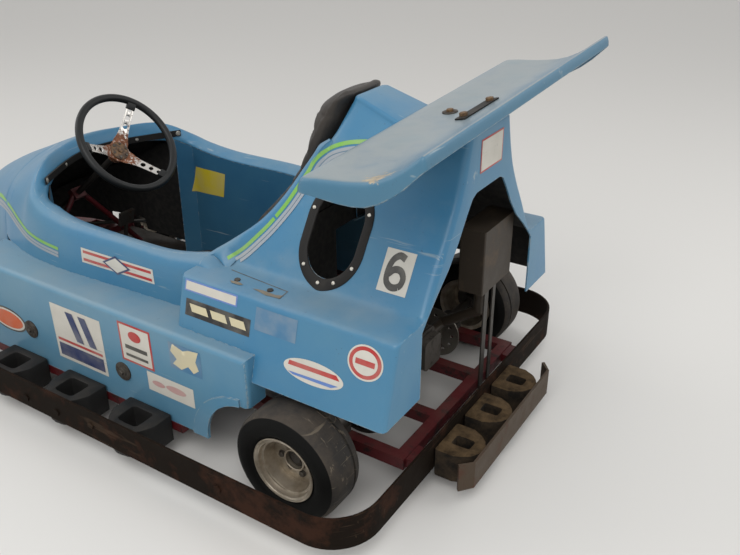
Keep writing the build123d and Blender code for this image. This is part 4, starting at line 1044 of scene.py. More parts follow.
torn = ((0.268, 0.342), (0.300, 0.338), (0.318, 0.330), (0.352, 0.340), (0.361, 0.318), (0.342, 0.300),
        (0.357, 0.283), (0.330, 0.274), (0.306, 0.290), (0.290, 0.276), (0.272, 0.290), (0.280, 0.312))
pod_stickers = (
    # name, shapes
    ("barred_sticker", (("white", box_shape(0.612, 0.808, 0.150, 0.320)),
                        ("navy", box_shape(0.622, 0.798, 0.160, 0.200)),
                        ("red", box_shape(0.622, 0.798, 0.208, 0.216)),
                        ("navy", box_shape(0.640, 0.668, 0.224, 0.308, 0.030)),
                        ("navy", box_shape(0.690, 0.718, 0.224, 0.308, 0.030)))),
    ("framed_sticker", (("red", box_shape(0.428, 0.542, 0.232, 0.346)),
                        ("white", box_shape(0.434, 0.536, 0.238, 0.340)),
                        ("black", box_shape(0.446, 0.524, 0.272, 0.284)),
                        ("red", oval_shape(0.485, 0.314, 0.022, 0.015)),
                        ("black", box_shape(0.446, 0.524, 0.250, 0.258)))),
    ("torn_sticker", (("deep_blue", box_shape(0.262, 0.366, 0.270, 0.344)), ("cream", torn))),
    ("faded_sticker", (("white", box_shape(0.300, 0.458, 0.170, 0.226)),
                       ("pink", oval_shape(0.36, 0.20, 0.034, 0.010)),
                       ("pink", oval_shape(0.42, 0.198, 0.022, 0.008)))),
    ("oval_front_sticker", (("black", oval_shape(1.020, 0.202, 0.080, 0.038)),
                            ("white", oval_shape(1.020, 0.202, 0.074, 0.033)),
                            ("orange", oval_shape(1.020, 0.202, 0.066, 0.027)))),
)
band_badge = (
    ("white", box_shape(0.505, 0.765, 0.410, 0.452)), ("red", box_shape(0.512, 0.758, 0.438, 0.446)),
    ("red", box_shape(0.512, 0.758, 0.416, 0.424)),
    ("navy", ((0.585, 0.431), (0.635, 0.404), (0.685, 0.431), (0.635, 0.458))),
    ("white", ((0.595, 0.431), (0.635, 0.410), (0.675, 0.431), (0.635, 0.452))),
)
box_stickers = (
    ("edged_strip", (("blue", box_shape(0.190, 0.352, 0.459, 0.486)),
                     ("white", box_shape(0.194, 0.348, 0.4625, 0.4825)))),
    ("black_strip", (("black", box_shape(0.146, 0.344, 0.402, 0.442)),
                     ("cream", box_shape(0.156, 0.200, 0.414, 0.432, 0.01)),
                     ("cream", box_shape(0.212, 0.258, 0.414, 0.432, 0.01)),
                     ("cream", box_shape(0.270, 0.322, 0.414, 0.432, 0.01)))),
    ("bare_patch", (("deep_blue", box_shape(0.018, 0.134, 0.424, 0.476)),)),
    ("banded_oval", (("white", oval_shape(-0.038, 0.374, 0.080, 0.026)),
                     ("red", ((-0.108, 0.378), (0.030, 0.376), (0.028, 0.386), (-0.098, 0.388))),
                     ("blue", ((-0.106, 0.366), (0.028, 0.362), (0.014, 0.357), (-0.088, 0.358))))),
    ("ringed_disc", (("white", oval_shape(-0.163, 0.436, 0.044, 0.038)),
                     ("red", oval_shape(-0.163, 0.436, 0.040, 0.034)),
                     ("white", oval_shape(-0.163, 0.436, 0.031, 0.026)),
                     ("red", box_shape(-0.187, -0.139, 0.430, 0.442)))),
)
pod_tree = tree_of(node["body_pod_left"])
for name, shapes in pod_stickers:
    sticker(name, pod_tree, shapes)
sticker("band_badge", skin_tree, band_badge)
for name, shapes in box_stickers:
    sticker(name, cowl_tree, shapes)
six_line = smooth_line(((-0.121, 0.594), (-0.136, 0.598), (-0.150, 0.588), (-0.156, 0.567), (-0.153, 0.546),
                        (-0.137, 0.537), (-0.119, 0.543), (-0.115, 0.558), (-0.124, 0.570), (-0.140, 0.571),
                        (-0.153, 0.560)), 4)
six_width = 0.0135
six_join = 23
plate_middle_x = -0.135
for look, line in (("left", [(2 * plate_middle_x - x, z) for x, z in six_line]), ("right", six_line)):
    sticker("number_plate_" + look, moulding_tree, (
        ("white", box_shape(-0.172, -0.098, 0.526, 0.608)), ("black", stroke(line[:six_join + 1], six_width)),
        ("black", stroke(line[six_join:], six_width))), look=look)
sticker("rear_notice_plate", moulding_tree, (("red", box_shape(-0.062, 0.051, 0.752, 0.829)),
                                             ("white", box_shape(-0.058, 0.047, 0.756, 0.825))), look="back")
peeled_shapes = (
    ("tar", ((0.280, 0.3115), (0.0975, 0.3275), (0.0975, 0.3300), (0.280, 0.3140))),
    ("tar", ((0.0975, 0.3280), (0.0925, 0.3667), (0.0950, 0.3667), (0.1000, 0.3280))),
    ("primer", ((0.176, 0.3590), (0.150, 0.3540), (0.112, 0.3560), (0.096, 0.3500), (0.0935, 0.3650),
                (0.130, 0.3690))),
    ("primer", ((0.246, 0.3560), (0.222, 0.3520), (0.206, 0.3570), (0.212, 0.3630), (0.236, 0.3640))),
)
sticker("peeled_shelf_patch", cowl_tree, peeled_shapes, look="top")
shelf_bolts = [stud((rear_x + x, y, 0.4925), (0.0, 0.0, 1.0), 0.0075, 0.0032, sides=20, flat=0.3)
               for x, y in shelf_bolt_places]
fittings("shelf_bolts", shelf_bolts, steel_dark)
cowl_stripe = smooth_line(((0.315, 0.503), (0.282, 0.529), (0.252, 0.562), (0.229, 0.590), (0.198, 0.638),
                           (0.182, 0.670), (0.160, 0.714), (0.146, 0.742), (0.120, 0.768), (0.077, 0.787),
                           (0.010, 0.800), (-0.050, 0.806)), 12)
nose_stripe = smooth_line(((1.420, 0.404), (1.280, 0.452), (1.157, 0.464), (1.060, 0.444), (0.960, 0.430),
                           (0.860, 0.424)), 4)
green_width = 0.009
green_break = 41
grey_width = 0.0075
grey_shifts = (0.0125, 0.0215)
for look in ("left", "right"):
    sticker("cowl_stripe_" + look, cowl_tree, (
        ("green", stroke(cowl_stripe[2:green_break], green_width)),
        ("green", stroke(cowl_stripe[green_break:], green_width)),
        ("pale_grey", stroke(cowl_stripe[5:], grey_width, grey_shifts[0])),
        ("pale_grey", stroke(cowl_stripe[8:], grey_width, grey_shifts[1]))), look=look, step=0.03)
    sticker("nose_stripe_" + look, skin_tree, (
        ("green", stroke(nose_stripe, green_width)), ("pale_grey", stroke(nose_stripe, grey_width, grey_shifts[0])),
        ("pale_grey", stroke(nose_stripe, grey_width, grey_shifts[1]))), look=look, step=0.03)
wall_tree = tree_of(walls)
sticker("blank_yellow_label", wall_tree, (
    ("yellow", ((0.968, 0.441), (0.848, 0.4335), (0.861, 0.350), (0.988, 0.352))),), look="right_wall")


# Rear wing.
# A shallow moulded tray with its open side down, swept up to a lip at the rear and rolled a little
# to the left, chalky and worn on top, chipped at its left rear corner and bolted to the cowl.
wing_half = 0.468
wing_front = -0.042
wing_rear = -0.325
wing_profile = sorted(smooth_line(((wing_front, 0.8560), (-0.068, 0.8640), (-0.150, 0.8725), (-0.215, 0.8855),
                                   (-0.270, 0.914), (wing_rear, 0.960)), 6))
wing_drop = smooth_line(((wing_rear, 0.036), (-0.250, 0.046), (-0.190, 0.050), (-0.120, 0.042),
                         (wing_front, 0.029)), 4)
wing_span_steps = 24
wing_chord_steps = 9
wing_corner = 0.022
wing_back_corner = 0.012
wing_roll = radians(-2.7)
roll_place = Matrix.Translation((0.0, 0.0, 0.8615))


def wing_loop(inset):
    """Outline of the wing seen from above, moved inward: front edge, left end, rear edge and right end."""
    half, front_x, back_x = wing_half - inset, wing_front - inset, wing_rear + inset
    round_front = max(wing_corner - inset, 0.004)
    round_back = max(wing_back_corner - inset, 0.003)
    turns = [pi / 2 * k / corner_steps for k in range(corner_steps + 1)]
    run = front_x - round_front - back_x - round_back
    left_end = [(front_x - round_front * (1 - cos(turn)), half - round_front * (1 - sin(turn))) for turn in turns[1:]]
    left_end += [(front_x - round_front - run * k / wing_chord_steps, half) for k in range(1, wing_chord_steps)]
    left_end += [(back_x + round_back * (1 - sin(turn)), half - round_back * (1 - cos(turn))) for turn in turns]
    loop = [(front_x, -(half - round_front) + 2 * (half - round_front) * k / wing_span_steps)
            for k in range(wing_span_steps + 1)]
    loop += left_end
    loop += [(back_x, (half - round_back) - 2 * (half - round_back) * k / wing_span_steps)
             for k in range(1, wing_span_steps + 1)]
    return loop + [(x, -y) for x, y in reversed(left_end)][:-1]


wing_edge = (
    # inset from the edge, drop below the top as a share of the flange, added drop
    (0.0008, 1.0, 0.0), (-0.0008, 0.96, 0.0), (0.0004, 0.60, 0.0), (0.0028, 0.0, 0.0115), (0.0040, 0.0, 0.0076),
    (0.0064, 0.0, 0.0040), (0.0096, 0.0, 0.0015), (0.0138, 0.0, 0.0004), (0.0186, 0.0, 0.0),
)
flat_insets = (0.024, 0.038, 0.054, 0.072, 0.09, 0.108, 0.124)
points = []
for inset, share, extra in wing_edge + tuple((inset, 0.0, 0.0) for inset in flat_insets):
    for x, y in wing_loop(inset):
        top = between_rows(wing_profile, x)[1]
        points.append((rear_x + x, y, top - extra - share * (between_rows(wing_drop, x)[1] - 0.002)))
columns = len(wing_loop(0.0))
rows = len(points) // columns
wing_faces = grid_faces(rows, columns, round_columns=True)
last = (rows - 1) * columns
wing_faces.append(tuple(last + k for k in range(columns)))
turn = roll_place @ Matrix.Rotation(wing_roll, 4, "X") @ roll_place.inverted()
points = [turn @ Vector(point) for point in points]
paint_wing = body_paint("blue_gel_coat_chalky", colour(58, 108, 136), colour(72, 116, 140), colour(104, 124, 130),
                        0.0, 0.2)
tree, shader, before = reopened(paint_wing)
place = own_place(tree)
height = facing_up(tree)
clouds = noise(tree, 7.0, 6.0, 0.65)
upward = maths(tree, "ADD", height, between(tree, clouds, 0.3, 0.7, -0.10, 0.08))
chalk = mixed(tree, between(tree, clouds, 0.35, 0.7), colour(148, 151, 149), colour(124, 140, 146))
topped = mixed(tree, between(tree, upward, 0.80, 0.98, 0.0, 0.94), before, chalk)
worn_corner = (rear_x - 0.215, 0.445, 0.868)
far_off = add(tree, "VectorMath", {0: place, 1: worn_corner}, operation="DISTANCE").outputs["Value"]
drawn_out = add(tree, "Mapping", {"Vector": place, "Scale": (0.7, 2.2, 1.6)}).outputs[0]
chips = noise(tree, 42.0, 7.0, 0.7, drawn_out)
total = maths(tree, "ADD", chips, between(tree, far_off, 0.01, 0.085, 0.20, -0.1))
total = maths(tree, "ADD", total, between(tree, height, 0.2, 0.8, -0.12, 0.0))
bare_shade = mixed(tree, between(tree, chips, 0.4, 0.6), colour(120, 94, 70), colour(176, 164, 138))
feed(tree, shader, {"Base Color": mixed(tree, between(tree, total, 0.655, 0.685), topped, bare_shade)})
wing = new_piece("wing_skin", points, wing_faces, paint_wing, crease=50.0)
wing_tree = tree_of(wing)
shell(wing, 0.005)
mount_gap = ((-0.105, 0.70), (0.105, 0.70), (0.105, 0.8415), (-0.105, 0.8415))
cut_away(wing, [prism(mount_gap, "x", rear_x - 0.20, rear_x + 0.2)])
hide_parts("rear_wing")


def on_wing(x, y):
    """Point and normal of the wing's top at that place."""
    hit = wing_tree.ray_cast(Vector((rear_x + x, y, 1.4)), Vector((0.0, 0.0, -1.0)))
    return hit[0], hit[1]


rusty_bolt = mottled("rusty_bolts", colour(92, 70, 52), colour(122, 96, 64), 150.0, 4.0, 0.4, 0.62, metallic=0.3,
                     roughness=0.62)
washer_centre, washer_way = on_wing(-0.141, 0.027)
fittings("wing_washer", [stud(washer_centre, washer_way, 0.0175, 0.0028, sides=40, flat=1.0)], steel_dark)
bolt_parts = [stud(washer_centre + washer_way * 0.0028, washer_way, 0.0082, 0.0055, sides=6, flat=1.0)]
for x, y in ((-0.193, 0.064), (-0.199, -0.051)):
    centre, way = on_wing(x, y)
    bolt_parts.append(stud(centre + way * 0.003, way, 0.0095, 0.008, sides=6, flat=1.0))
fittings("wing_bolts", bolt_parts, rusty_bolt)
strap_start_y = 0.088
strap_length = 0.160
strap_slant = 0.003
strap_steps = 14
strap_thickness = 0.0030
strap_points = []
for k in range(strap_steps + 1):
    y = strap_start_y - strap_length * k / strap_steps
    for x in (-0.184, -0.208):
        centre, way = on_wing(x - strap_slant * (strap_start_y - y) / strap_length, y)
        strap_points.append(centre + way * (strap_thickness + 0.0002))
wing_strap = new_piece("wing_strap", strap_points, grid_faces(strap_steps + 1, 2), trim_black, finish="plain_steel")
shell(wing_strap, strap_thickness)
shape_up(wing_strap)


# Seat.
# Dark padded vinyl: a low cushion between the side rails and a tall, narrow back that leans on the
# cowl, with sewn channels across it.
seat_vinyl, tree, shader = blank_material("dark_vinyl")
place = own_place(tree)
shade = mixed(tree, between(tree, noise(tree, 9.0, 5.0), 0.35, 0.7), colour(32, 28, 25), colour(50, 44, 38))
dusty = maths(tree, "MULTIPLY", effect(tree, dust_group, Scale=12.0, Cover=0.02, Upward=0.35), 0.5)
grain = add(tree, "TexVoronoi", {"Vector": place, "Scale": 420.0}).outputs["Distance"]
folds = add(tree, "TexNoise", {"Vector": place, "Scale": 24.0, "Detail": 3.0, "Distortion": 1.4}).outputs["Fac"]
feed(tree, shader, {"Base Color": mixed(tree, dusty, shade, colour(96, 88, 76)), "Roughness": 0.55,
                    "Normal": bumped(tree, grain, 0.3, 0.0004, bumped(tree, folds, 0.5, 0.004))})


def soft_square(count, power):
    """Points on a square of half width 1 with rounded corners, the rounder the nearer the power is to 1."""
    line = []
    for k in range(count):
        a, b = cos(2 * pi * k / count), sin(2 * pi * k / count)
        line.append((copysign(abs(a) ** power, a), copysign(abs(b) ** power, b)))
    return line


def round_section(first, second, half, power):
    """Points round a cross-section that spans from the first to the second place and that far to each side."""
    middle, reach = (first + second) / 2, (second - first).length / 2
    way = (second - first).normalized()
    section = []
    for a, b in soft_square(32, power):
        here = middle + way * a * reach
        section.append((here.x, b * half, here.z))
    return section


held_share = 0.25
swell_frames = 20


def cushion(name, sections, limit, held_side):
    """A closed padded shape through its sections, swelled by pressure as cloth, little on its held side."""
    count = len(sections[0])
    points = [point for section in sections for point in section]
    faces = grid_faces(len(sections), count, round_columns=True)
    faces += [tuple(range(count)), tuple(range((len(sections) - 1) * count, len(sections) * count))]
    piece = new_piece(name, points, faces, seat_vinyl, finish="seat_vinyl", crease=80.0)
    remesh = piece.modifiers.new("even", "REMESH")
    remesh.mode = "VOXEL"
    remesh.voxel_size = 0.006
    shape_up(piece, 80.0)
    rest = [vert.co.copy() for vert in piece.data.vertices]
    cloth = piece.modifiers.new("cloth", "CLOTH")
    cloth.settings.use_pressure = True
    cloth.settings.uniform_pressure_force = 4.0
    cloth.settings.effector_weights.gravity = 0.0
    cloth.point_cache.frame_end = swell_frames
    for number in range(1, swell_frames + 1):
        scene.frame_set(number)
    held = piece.evaluated_get(bpy.context.evaluated_depsgraph_get())
    swelled = [vert.co.copy() for vert in held.data.vertices]
    piece.modifiers.clear()
    scene.frame_set(1)
    for vert, start, end in zip(piece.data.vertices, rest, swelled):
        move = end - start
        reach = limit * (held_share if held_side(start) else 1.0)
        if move.length > reach:
            move = move.normalized() * reach
        vert.co = start + move
    finer = piece.modifiers.new("finer", "SUBSURF")
    finer.levels = 1
    shape_up(piece, 80.0)
    return piece


back_stations = (
    # back x, back z, front x, front z, half width
    (0.386, 0.246, 0.452, 0.246, 0.088), (0.385, 0.262, 0.458, 0.262, 0.094), (0.385, 0.340, 0.448, 0.345, 0.097),
    (0.385, 0.430, 0.426, 0.438, 0.097), (0.376, 0.480, 0.404, 0.492, 0.097), (0.330, 0.530, 0.358, 0.545, 0.097),
    (0.284, 0.572, 0.318, 0.588, 0.097), (0.243, 0.616, 0.284, 0.632, 0.098), (0.213, 0.660, 0.254, 0.674, 0.098),
    (0.184, 0.704, 0.233, 0.716, 0.098), (0.160, 0.745, 0.217, 0.756, 0.098), (0.136, 0.786, 0.203, 0.800, 0.098),
    (0.118, 0.825, 0.186, 0.838, 0.097), (0.104, 0.862, 0.162, 0.867, 0.095), (0.092, 0.884, 0.142, 0.885, 0.086),
    (0.094, 0.892, 0.124, 0.893, 0.066),
)
channel_pitch = 0.049
channel_start = 0.640
channel_end = 0.875
channel_depth = 0.007
fine_stations = []
for back_x, back_z, front_x, front_z, half in smooth_line(back_stations, 6):
    if channel_start - channel_pitch / 2 < front_z < channel_end:
        wave = abs(sin(pi * (front_z - channel_start) / channel_pitch))
        front_x -= channel_depth * (1 - wave) ** 2
    fine_stations.append((back_x, back_z, front_x, front_z, half))
back_sections = [round_section(Vector((rear_x + back_x, 0.0, back_z)), Vector((rear_x + front_x, 0.0, front_z)), half,
                               2.0 / 2.7) for back_x, back_z, front_x, front_z, half in fine_stations]
hold_x, hold_z, hold_slope = 0.135, 0.862, 0.652
back_swell = 0.006
base_swell = 0.012
seat_back = cushion("seat_back_pad", back_sections, back_swell,
                    lambda place: place.x - rear_x < hold_x + (hold_z - place.z) * hold_slope)
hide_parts("seat_back")
pad_tree = tree_of(seat_back)
seam_parts = []
seam_count = 5
seam_half = 0.090
seam_radius = 0.0016
seam_start = 0.14
seam_way = Vector((-1.0, 0.0, -0.35)).normalized()
for k in range(seam_count):
    line = []
    for step in range(25):
        aim = Vector((rear_x + 0.22, seam_half * (step / 12 - 1), channel_start + channel_pitch * k))
        hit = pad_tree.ray_cast(aim - seam_way * seam_start, seam_way)
        if hit[0]:
            line.append(hit[0] - hit[1] * 0.0004)
    if len(line) > 8:
        seam_parts.append(tube(line, seam_radius, sides=8))
new_piece("seat_back_seams", *joined(seam_parts), seat_vinyl, finish="seat_vinyl")
base_levels = (
    # height, half length, half width
    (0.1295, 0.180, 0.190), (0.134, 0.188, 0.198), (0.170, 0.192, 0.202), (0.200, 0.188, 0.198),
    (0.213, 0.172, 0.182),
)
base_middle_x = 0.690
base_sections = [[(rear_x + base_middle_x + a * half_l, b * half_w, z) for a, b in soft_square(64, 0.45)]
                 for z, half_l, half_w in base_levels]
seat_cushion = cushion("seat_cushion", base_sections, base_swell, lambda place: place.z < 0.14)
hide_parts("seat_base")


# Wheels.
# Small cast rims with a rolled bright lip, a deep smooth barrel and an inner disc held by three
# bolts, under wide slick tyres with one worn groove, black at the sides and brown with dust on the tread.
def turned(profile, centre, side, steps):
    """A profile of depth in from the outer face and radius, turned about a wheel's axis at that centre."""
    points = []
    for k in range(steps):
        angle = 2 * pi * k / steps
        points += [(centre[0] + radius * cos(angle), centre[1] - side * depth, centre[2] + radius * sin(angle))
                   for depth, radius in profile]
    return points, grid_faces(steps, len(profile), round_rows=True, round_columns=True)


def flat_plate(outlines, thickness, bevel, placing):
    """Points and faces of a plate with holes: closed outlines, its thickness, its edge round and its place."""
    curve = bpy.data.curves.new("outline", "CURVE")
    curve.dimensions = "2D"
    curve.fill_mode = "BOTH"
    curve.extrude = thickness / 2 - bevel
    curve.bevel_depth = bevel
    curve.bevel_resolution = 1
    curve.offset = -bevel
    for outline in outlines:
        spline = curve.splines.new("POLY")
        spline.points.add(len(outline) - 1)
        for point, (a, b) in zip(spline.points, outline):
            point.co = (a, b, 0.0, 1.0)
        spline.use_cyclic_u = True
    holder = bpy.data.objects.new("outline", curve)
    scene.collection.objects.link(holder)
    bpy.context.view_layer.update()
    mesh = bpy.data.meshes.new_from_object(holder.evaluated_get(bpy.context.evaluated_depsgraph_get()))
    points = [placing @ vert.co for vert in mesh.vertices]
    faces = [tuple(face.vertices) for face in mesh.polygons]
    bpy.data.objects.remove(holder)
    bpy.data.curves.remove(curve)
    bpy.data.meshes.remove(mesh)
    return points, faces


rim_metal, tree, shader = blank_material("cast_rim")
clouds = noise(tree, 35.0, 6.0)
shade = mixed(tree, between(tree, clouds, 0.35, 0.7), colour(178, 168, 152), colour(130, 118, 102))
grime = effect(tree, dust_group, Scale=22.0, Cover=0.04, Upward=0.2)
feed(tree, shader, {"Base Color": mixed(tree, grime, shade, colour(88, 76, 62)), "Metallic": 0.72,
                    "Roughness": between(tree, clouds, 0.3, 0.7, 0.28, 0.5)})
tyre_side = black_rubber("tyre_sidewall", colour(8, 8, 7), colour(28, 24, 20), 0.62, -0.1, 0.12)
tyre_tread, tree, shader = blank_material("tyre_tread")
clouds = noise(tree, 11.0, 6.0, 0.65)
shade = mixed(tree, between(tree, clouds, 0.38, 0.66), colour(32, 29, 26), colour(68, 59, 49))
scuffs = maths(tree, "MULTIPLY", effect(tree, scratch_group, Scale=40.0, Cover=0.36, Slant=0.5), 0.45)
feed(tree, shader, {"Base Color": mixed(tree, scuffs, shade, colour(126, 114, 96)), "Roughness": 0.8,
                    "Normal": bumped(tree, noise(tree, 160.0, 4.0), 0.4, 0.0008)})
wheel_table = (
    # name, body, x from the rear axle, height, outer face y, rim width, lip radius, tyre radius, tyre width,
    # bore radius, side
    ("rear_left", "rear_wheels", 0.0, 0.143, 0.505, 0.112, 0.084, 0.143, 0.124, 0.0240, 1),
    ("rear_right", "rear_wheels", 0.0, 0.143, 0.505, 0.112, 0.084, 0.143, 0.124, 0.0240, -1),
    ("front_left", "left_front_wheel", 1.380, 0.130, 0.496, 0.092, 0.076, 0.130, 0.104, 0.0110, 1),
    ("front_right", "right_front_wheel", 1.380, 0.130, 0.496, 0.092, 0.076, 0.130, 0.104, 0.0110, -1),
)
bolt_circle = 0.038
disc_depth = 0.053
bolt_depth = 0.050
wheel_bolt_heads = ((0.0095, 0.0015, 20), (0.0072, 0.0060, 6))
tread_depth = 0.009
for name, body, x, z, face_y, rim_w, lip, tyre_r, tyre_w, bore, side in wheel_table:
    centre = (rear_x + x, side * face_y, z)
    bead = lip - 0.008
    well = bead - 0.005
    rim_profile = (
        (0.0, lip - 0.0016), (0.0008, lip - 0.0004), (0.0022, lip), (0.0036, lip - 0.0008), (0.004, bead),
        (rim_w - 0.004, bead), (rim_w - 0.0035, lip), (rim_w, lip - 0.001), (rim_w, well), (0.056, well - 0.009),
        (0.049, well - 0.0095), (0.040, well - 0.0075), (0.018, well - 0.0050), (0.0158, well - 0.0042),
        (0.0150, well - 0.0020), (0.0145, well), (0.0125, well + 0.0008), (0.0050, well + 0.0022),
        (0.0040, well + 0.0034), (0.0034, well + 0.0060), (0.0012, well + 0.0078), (0.0, well + 0.0095),
    )
    rim = new_piece("rim_" + name, *turned(rim_profile, centre, side, 96), rim_metal, body, "rim_metal", 28.0)
    disc_place = Matrix.Translation((centre[0], side * (face_y - disc_depth), z)) @ Matrix.Rotation(pi / 2, 4, "X")
    ring_places = [(bolt_circle * cos(pi / 3 * k), bolt_circle * sin(pi / 3 * k)) for k in range(6)]
    holes = [oval_shape(a, b, 0.0070, 0.0070, 16) for a, b in ring_places]
    disc_outer = well - 0.0085
    disc_outlines = [oval_shape(0.0, 0.0, disc_outer, disc_outer, 64), oval_shape(0.0, 0.0, bore, bore, 32)] + holes
    disc = [flat_plate(disc_outlines, 0.006, 0.0008, disc_place)]
    seat_ring = ((0.0435, 0.0290), (0.0425, 0.0280), (0.0425, 0.0252), (0.0435, 0.0242), (0.052, 0.0242),
                 (0.052, 0.0300))
    disc.append(turned(seat_ring, centre, side, 48))
    outward_way = Vector((0.0, side, 0.0))
    bolts = []
    for a, b in ring_places[::2]:
        spot = Vector((centre[0] + a, side * (face_y - bolt_depth), z + b))
        bolts += stacked(spot, outward_way, wheel_bolt_heads)
    new_piece("rim_disc_" + name, *joined(disc), rim_metal, body, "rim_metal", 30.0)
    fittings("wheel_bolts_" + name, bolts, steel_dark, body)
    mid = rim_w / 2
    half = tyre_w / 2
    foot = mid - 0.0045
    arc_side = smooth_line(((foot, lip + 0.0015), (half - 0.0012, lip + 0.012), (half, (lip + tyre_r) / 2 + 0.002),
                            (half - 0.0045, tyre_r - 0.017), (half - 0.012, tyre_r - 0.0062),
                            (half - 0.026, tyre_r - 0.0008)), 4)
    groove = half * 0.42
    outer = [(mid - depth, radius) for depth, radius in arc_side]
    inner = [(mid + depth, radius) for depth, radius in reversed(arc_side)]
    tread = [(mid - half * 0.3, tyre_r), (mid + groove - 0.0035, tyre_r), (mid + groove - 0.0030, tyre_r - 0.0036),
             (mid + groove + 0.0030, tyre_r - 0.0036), (mid + groove + 0.0035, tyre_r)]
    profile = [(mid - foot, bead + 0.0004)] + outer + tread + inner + [(mid + foot, bead + 0.0004)]
    tyre = new_piece("tyre_" + name, *turned(profile, centre, side, 112), tyre_side, body, "tyre_rubber", 35.0)
    tyre.data.materials.append(tyre_tread)
    for face in tyre.data.polygons:
        if dist((face.center.x, face.center.z), (centre[0], z)) > tyre_r - tread_depth:
            face.material_index = 1
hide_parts("rim_rear")
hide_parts("tyre_rear")
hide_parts("rim_front_left")
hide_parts("tyre_front_left")
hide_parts("rim_front_right")
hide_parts("tyre_front_right")


# Steering wheel.
# A thin black moulded ring on three drilled bright spokes, with a rusty round cap held by six screws.
grip_low, grip_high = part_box("steering_wheel_rim")
hub_centre = (grip_low + grip_high) / 2
column_lean = radians(38.0)
column_way = Vector((-cos(column_lean), 0.0, sin(column_lean)))
grip_black = black_rubber("moulded_grip", colour(24, 25, 25), colour(58, 58, 56), 0.4)
first_way = Vector((0.0, 1.0, 0.0))
second_way = column_way.cross(first_way)


def wheel_way(angle):
    """Direction in the steering wheel's plane at that angle from the left."""
    return first_way * cos(angle) + second_way * sin(angle)


grip_radius = 0.1515
grip_half = 0.0115
ring = [hub_centre + wheel_way(2 * pi * k / 120) * grip_radius for k in range(120)]
grip = new_piece("steering_grip", *tube(ring, grip_half, sides=20, closed=True), grip_black, "steering", "grip")
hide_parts("steering_wheel_rim")
dish = 0.062
plate_centre = hub_centre - column_way * dish
chrome, tree, shader = blank_material("worn_chrome")
place = own_place(tree)
spots = noise(tree, 110.0, 5.0)
from_hub = add(tree, "VectorMath", {0: place, 1: plate_centre}, operation="DISTANCE").outputs["Value"]
rusted = maths(tree, "ADD", spots, between(tree, from_hub, 0.045, 0.085, 0.24, -0.04))
rusted = between(tree, rusted, 0.56, 0.70)
rust_shade = mixed(tree, between(tree, spots, 0.35, 0.65), colour(146, 92, 58), colour(98, 58, 38))
feed(tree, shader, {"Base Color": mixed(tree, rusted, colour(206, 202, 196), rust_shade),
                    "Metallic": between(tree, rusted, 0.0, 1.0, 0.95, 0.15),
                    "Roughness": between(tree, rusted, 0.0, 1.0, 0.18, 0.6)})
spoke_turns = (-12.0, 112.0, 230.0)
spoke_start = 0.020
spoke_end = 0.142
spoke_thickness = 0.003
screw_circle = 0.0225
parts = [stud(plate_centre, column_way, 0.034, 0.005, sides=40, flat=1.0),
         stud(plate_centre, -column_way, 0.024, 0.030, sides=32, flat=1.0)]
pads = []
for turn_by in spoke_turns:
    way = wheel_way(radians(turn_by))
    start = plate_centre + column_way * 0.0025 + way * spoke_start
    run = hub_centre + way * spoke_end - start
    along, across_way = run.normalized(), column_way.cross(way)
    placing = Matrix.Translation(start) @ Matrix((along, across_way, along.cross(across_way))).transposed().to_4x4()
    half_line = [(0.0, 0.026), (0.016, 0.0235), (0.032, 0.0180), (0.050, 0.0150), (0.075, 0.0135),
                 (run.length, 0.0115)]
    outline = half_line + [(a, -b) for a, b in reversed(half_line)]
    holes = [oval_shape(run.length * share, 0.0, radius, radius, 20)
             for share, radius in ((0.47, 0.0078), (0.67, 0.0068), (0.85, 0.0058))]
    parts.append(flat_plate([outline] + holes, spoke_thickness, 0.0005, placing))
    block = box_shape(run.length - 0.017, run.length + 0.003, -0.0135, 0.0135)
    pads.append(flat_plate([block], 0.013, 0.002, placing))
spokes = new_piece("steering_spokes", *joined(parts), chrome, "steering", "plain_steel", 30.0)
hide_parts("steering_hub")
new_piece("steering_spoke_pads", *joined(pads), grip_black, "steering", "grip", 40.0)
cap_metal = mottled("rusty_cap", colour(116, 88, 58), colour(66, 50, 38), 90.0, 6.0, 0.38, 0.6, roughness=0.6)
cap_centre = plate_centre + column_way * 0.005
parts = [stud(cap_centre, column_way, 0.0285, 0.007, sides=40, flat=0.6),
         stud(cap_centre + column_way * 0.006, column_way, 0.0085, 0.006, sides=6, flat=1.0)]
screws = []
for k in range(6):
    screw_place = cap_centre + wheel_way(pi / 3 * k) * screw_circle + column_way * 0.0055
    screws.append(stud(screw_place, column_way, 0.0042, 0.004, sides=6, flat=1.0))
fittings("steering_cap", parts, cap_metal, "steering")
fittings("steering_cap_screws", screws, steel_dark, "steering")


# Frame, axles and steering parts.
# Square steel tubes in dark red paint gone brown at the welds and edges, with dull plated rods,
# knuckles and shafts, all under a film of oil and dust.
def worn_metal(name, base, rust, rust_share, metallic, roughness, scale=26.0, dust_tone=(92, 82, 70)):
    """Painted or bare metal with rust in patches and along its edges, and dust on what faces up."""
    material, tree, shader = blank_material(name)
    clouds = noise(tree, scale, 7.0, 0.7)
    shade = mixed(tree, between(tree, clouds, 0.66 - rust_share * 0.3, 0.72 - rust_share * 0.2), base, rust)
    shade = mixed(tree, effect(tree, edge_group, Radius=0.0025, Amount=0.7, Scale=90.0), shade, rust)
    dusty = maths(tree, "MULTIPLY", effect(tree, dust_group, Scale=10.0, Cover=0.06, Upward=0.3), 0.55)
    feed(tree, shader, {"Base Color": mixed(tree, dusty, shade, colour(*dust_tone)), "Metallic": metallic,
                        "Roughness": between(tree, clouds, 0.3, 0.7, roughness - 0.08, roughness + 0.15),
                        "Normal": bumped(tree, clouds, 0.3, 0.0012)})
    return material


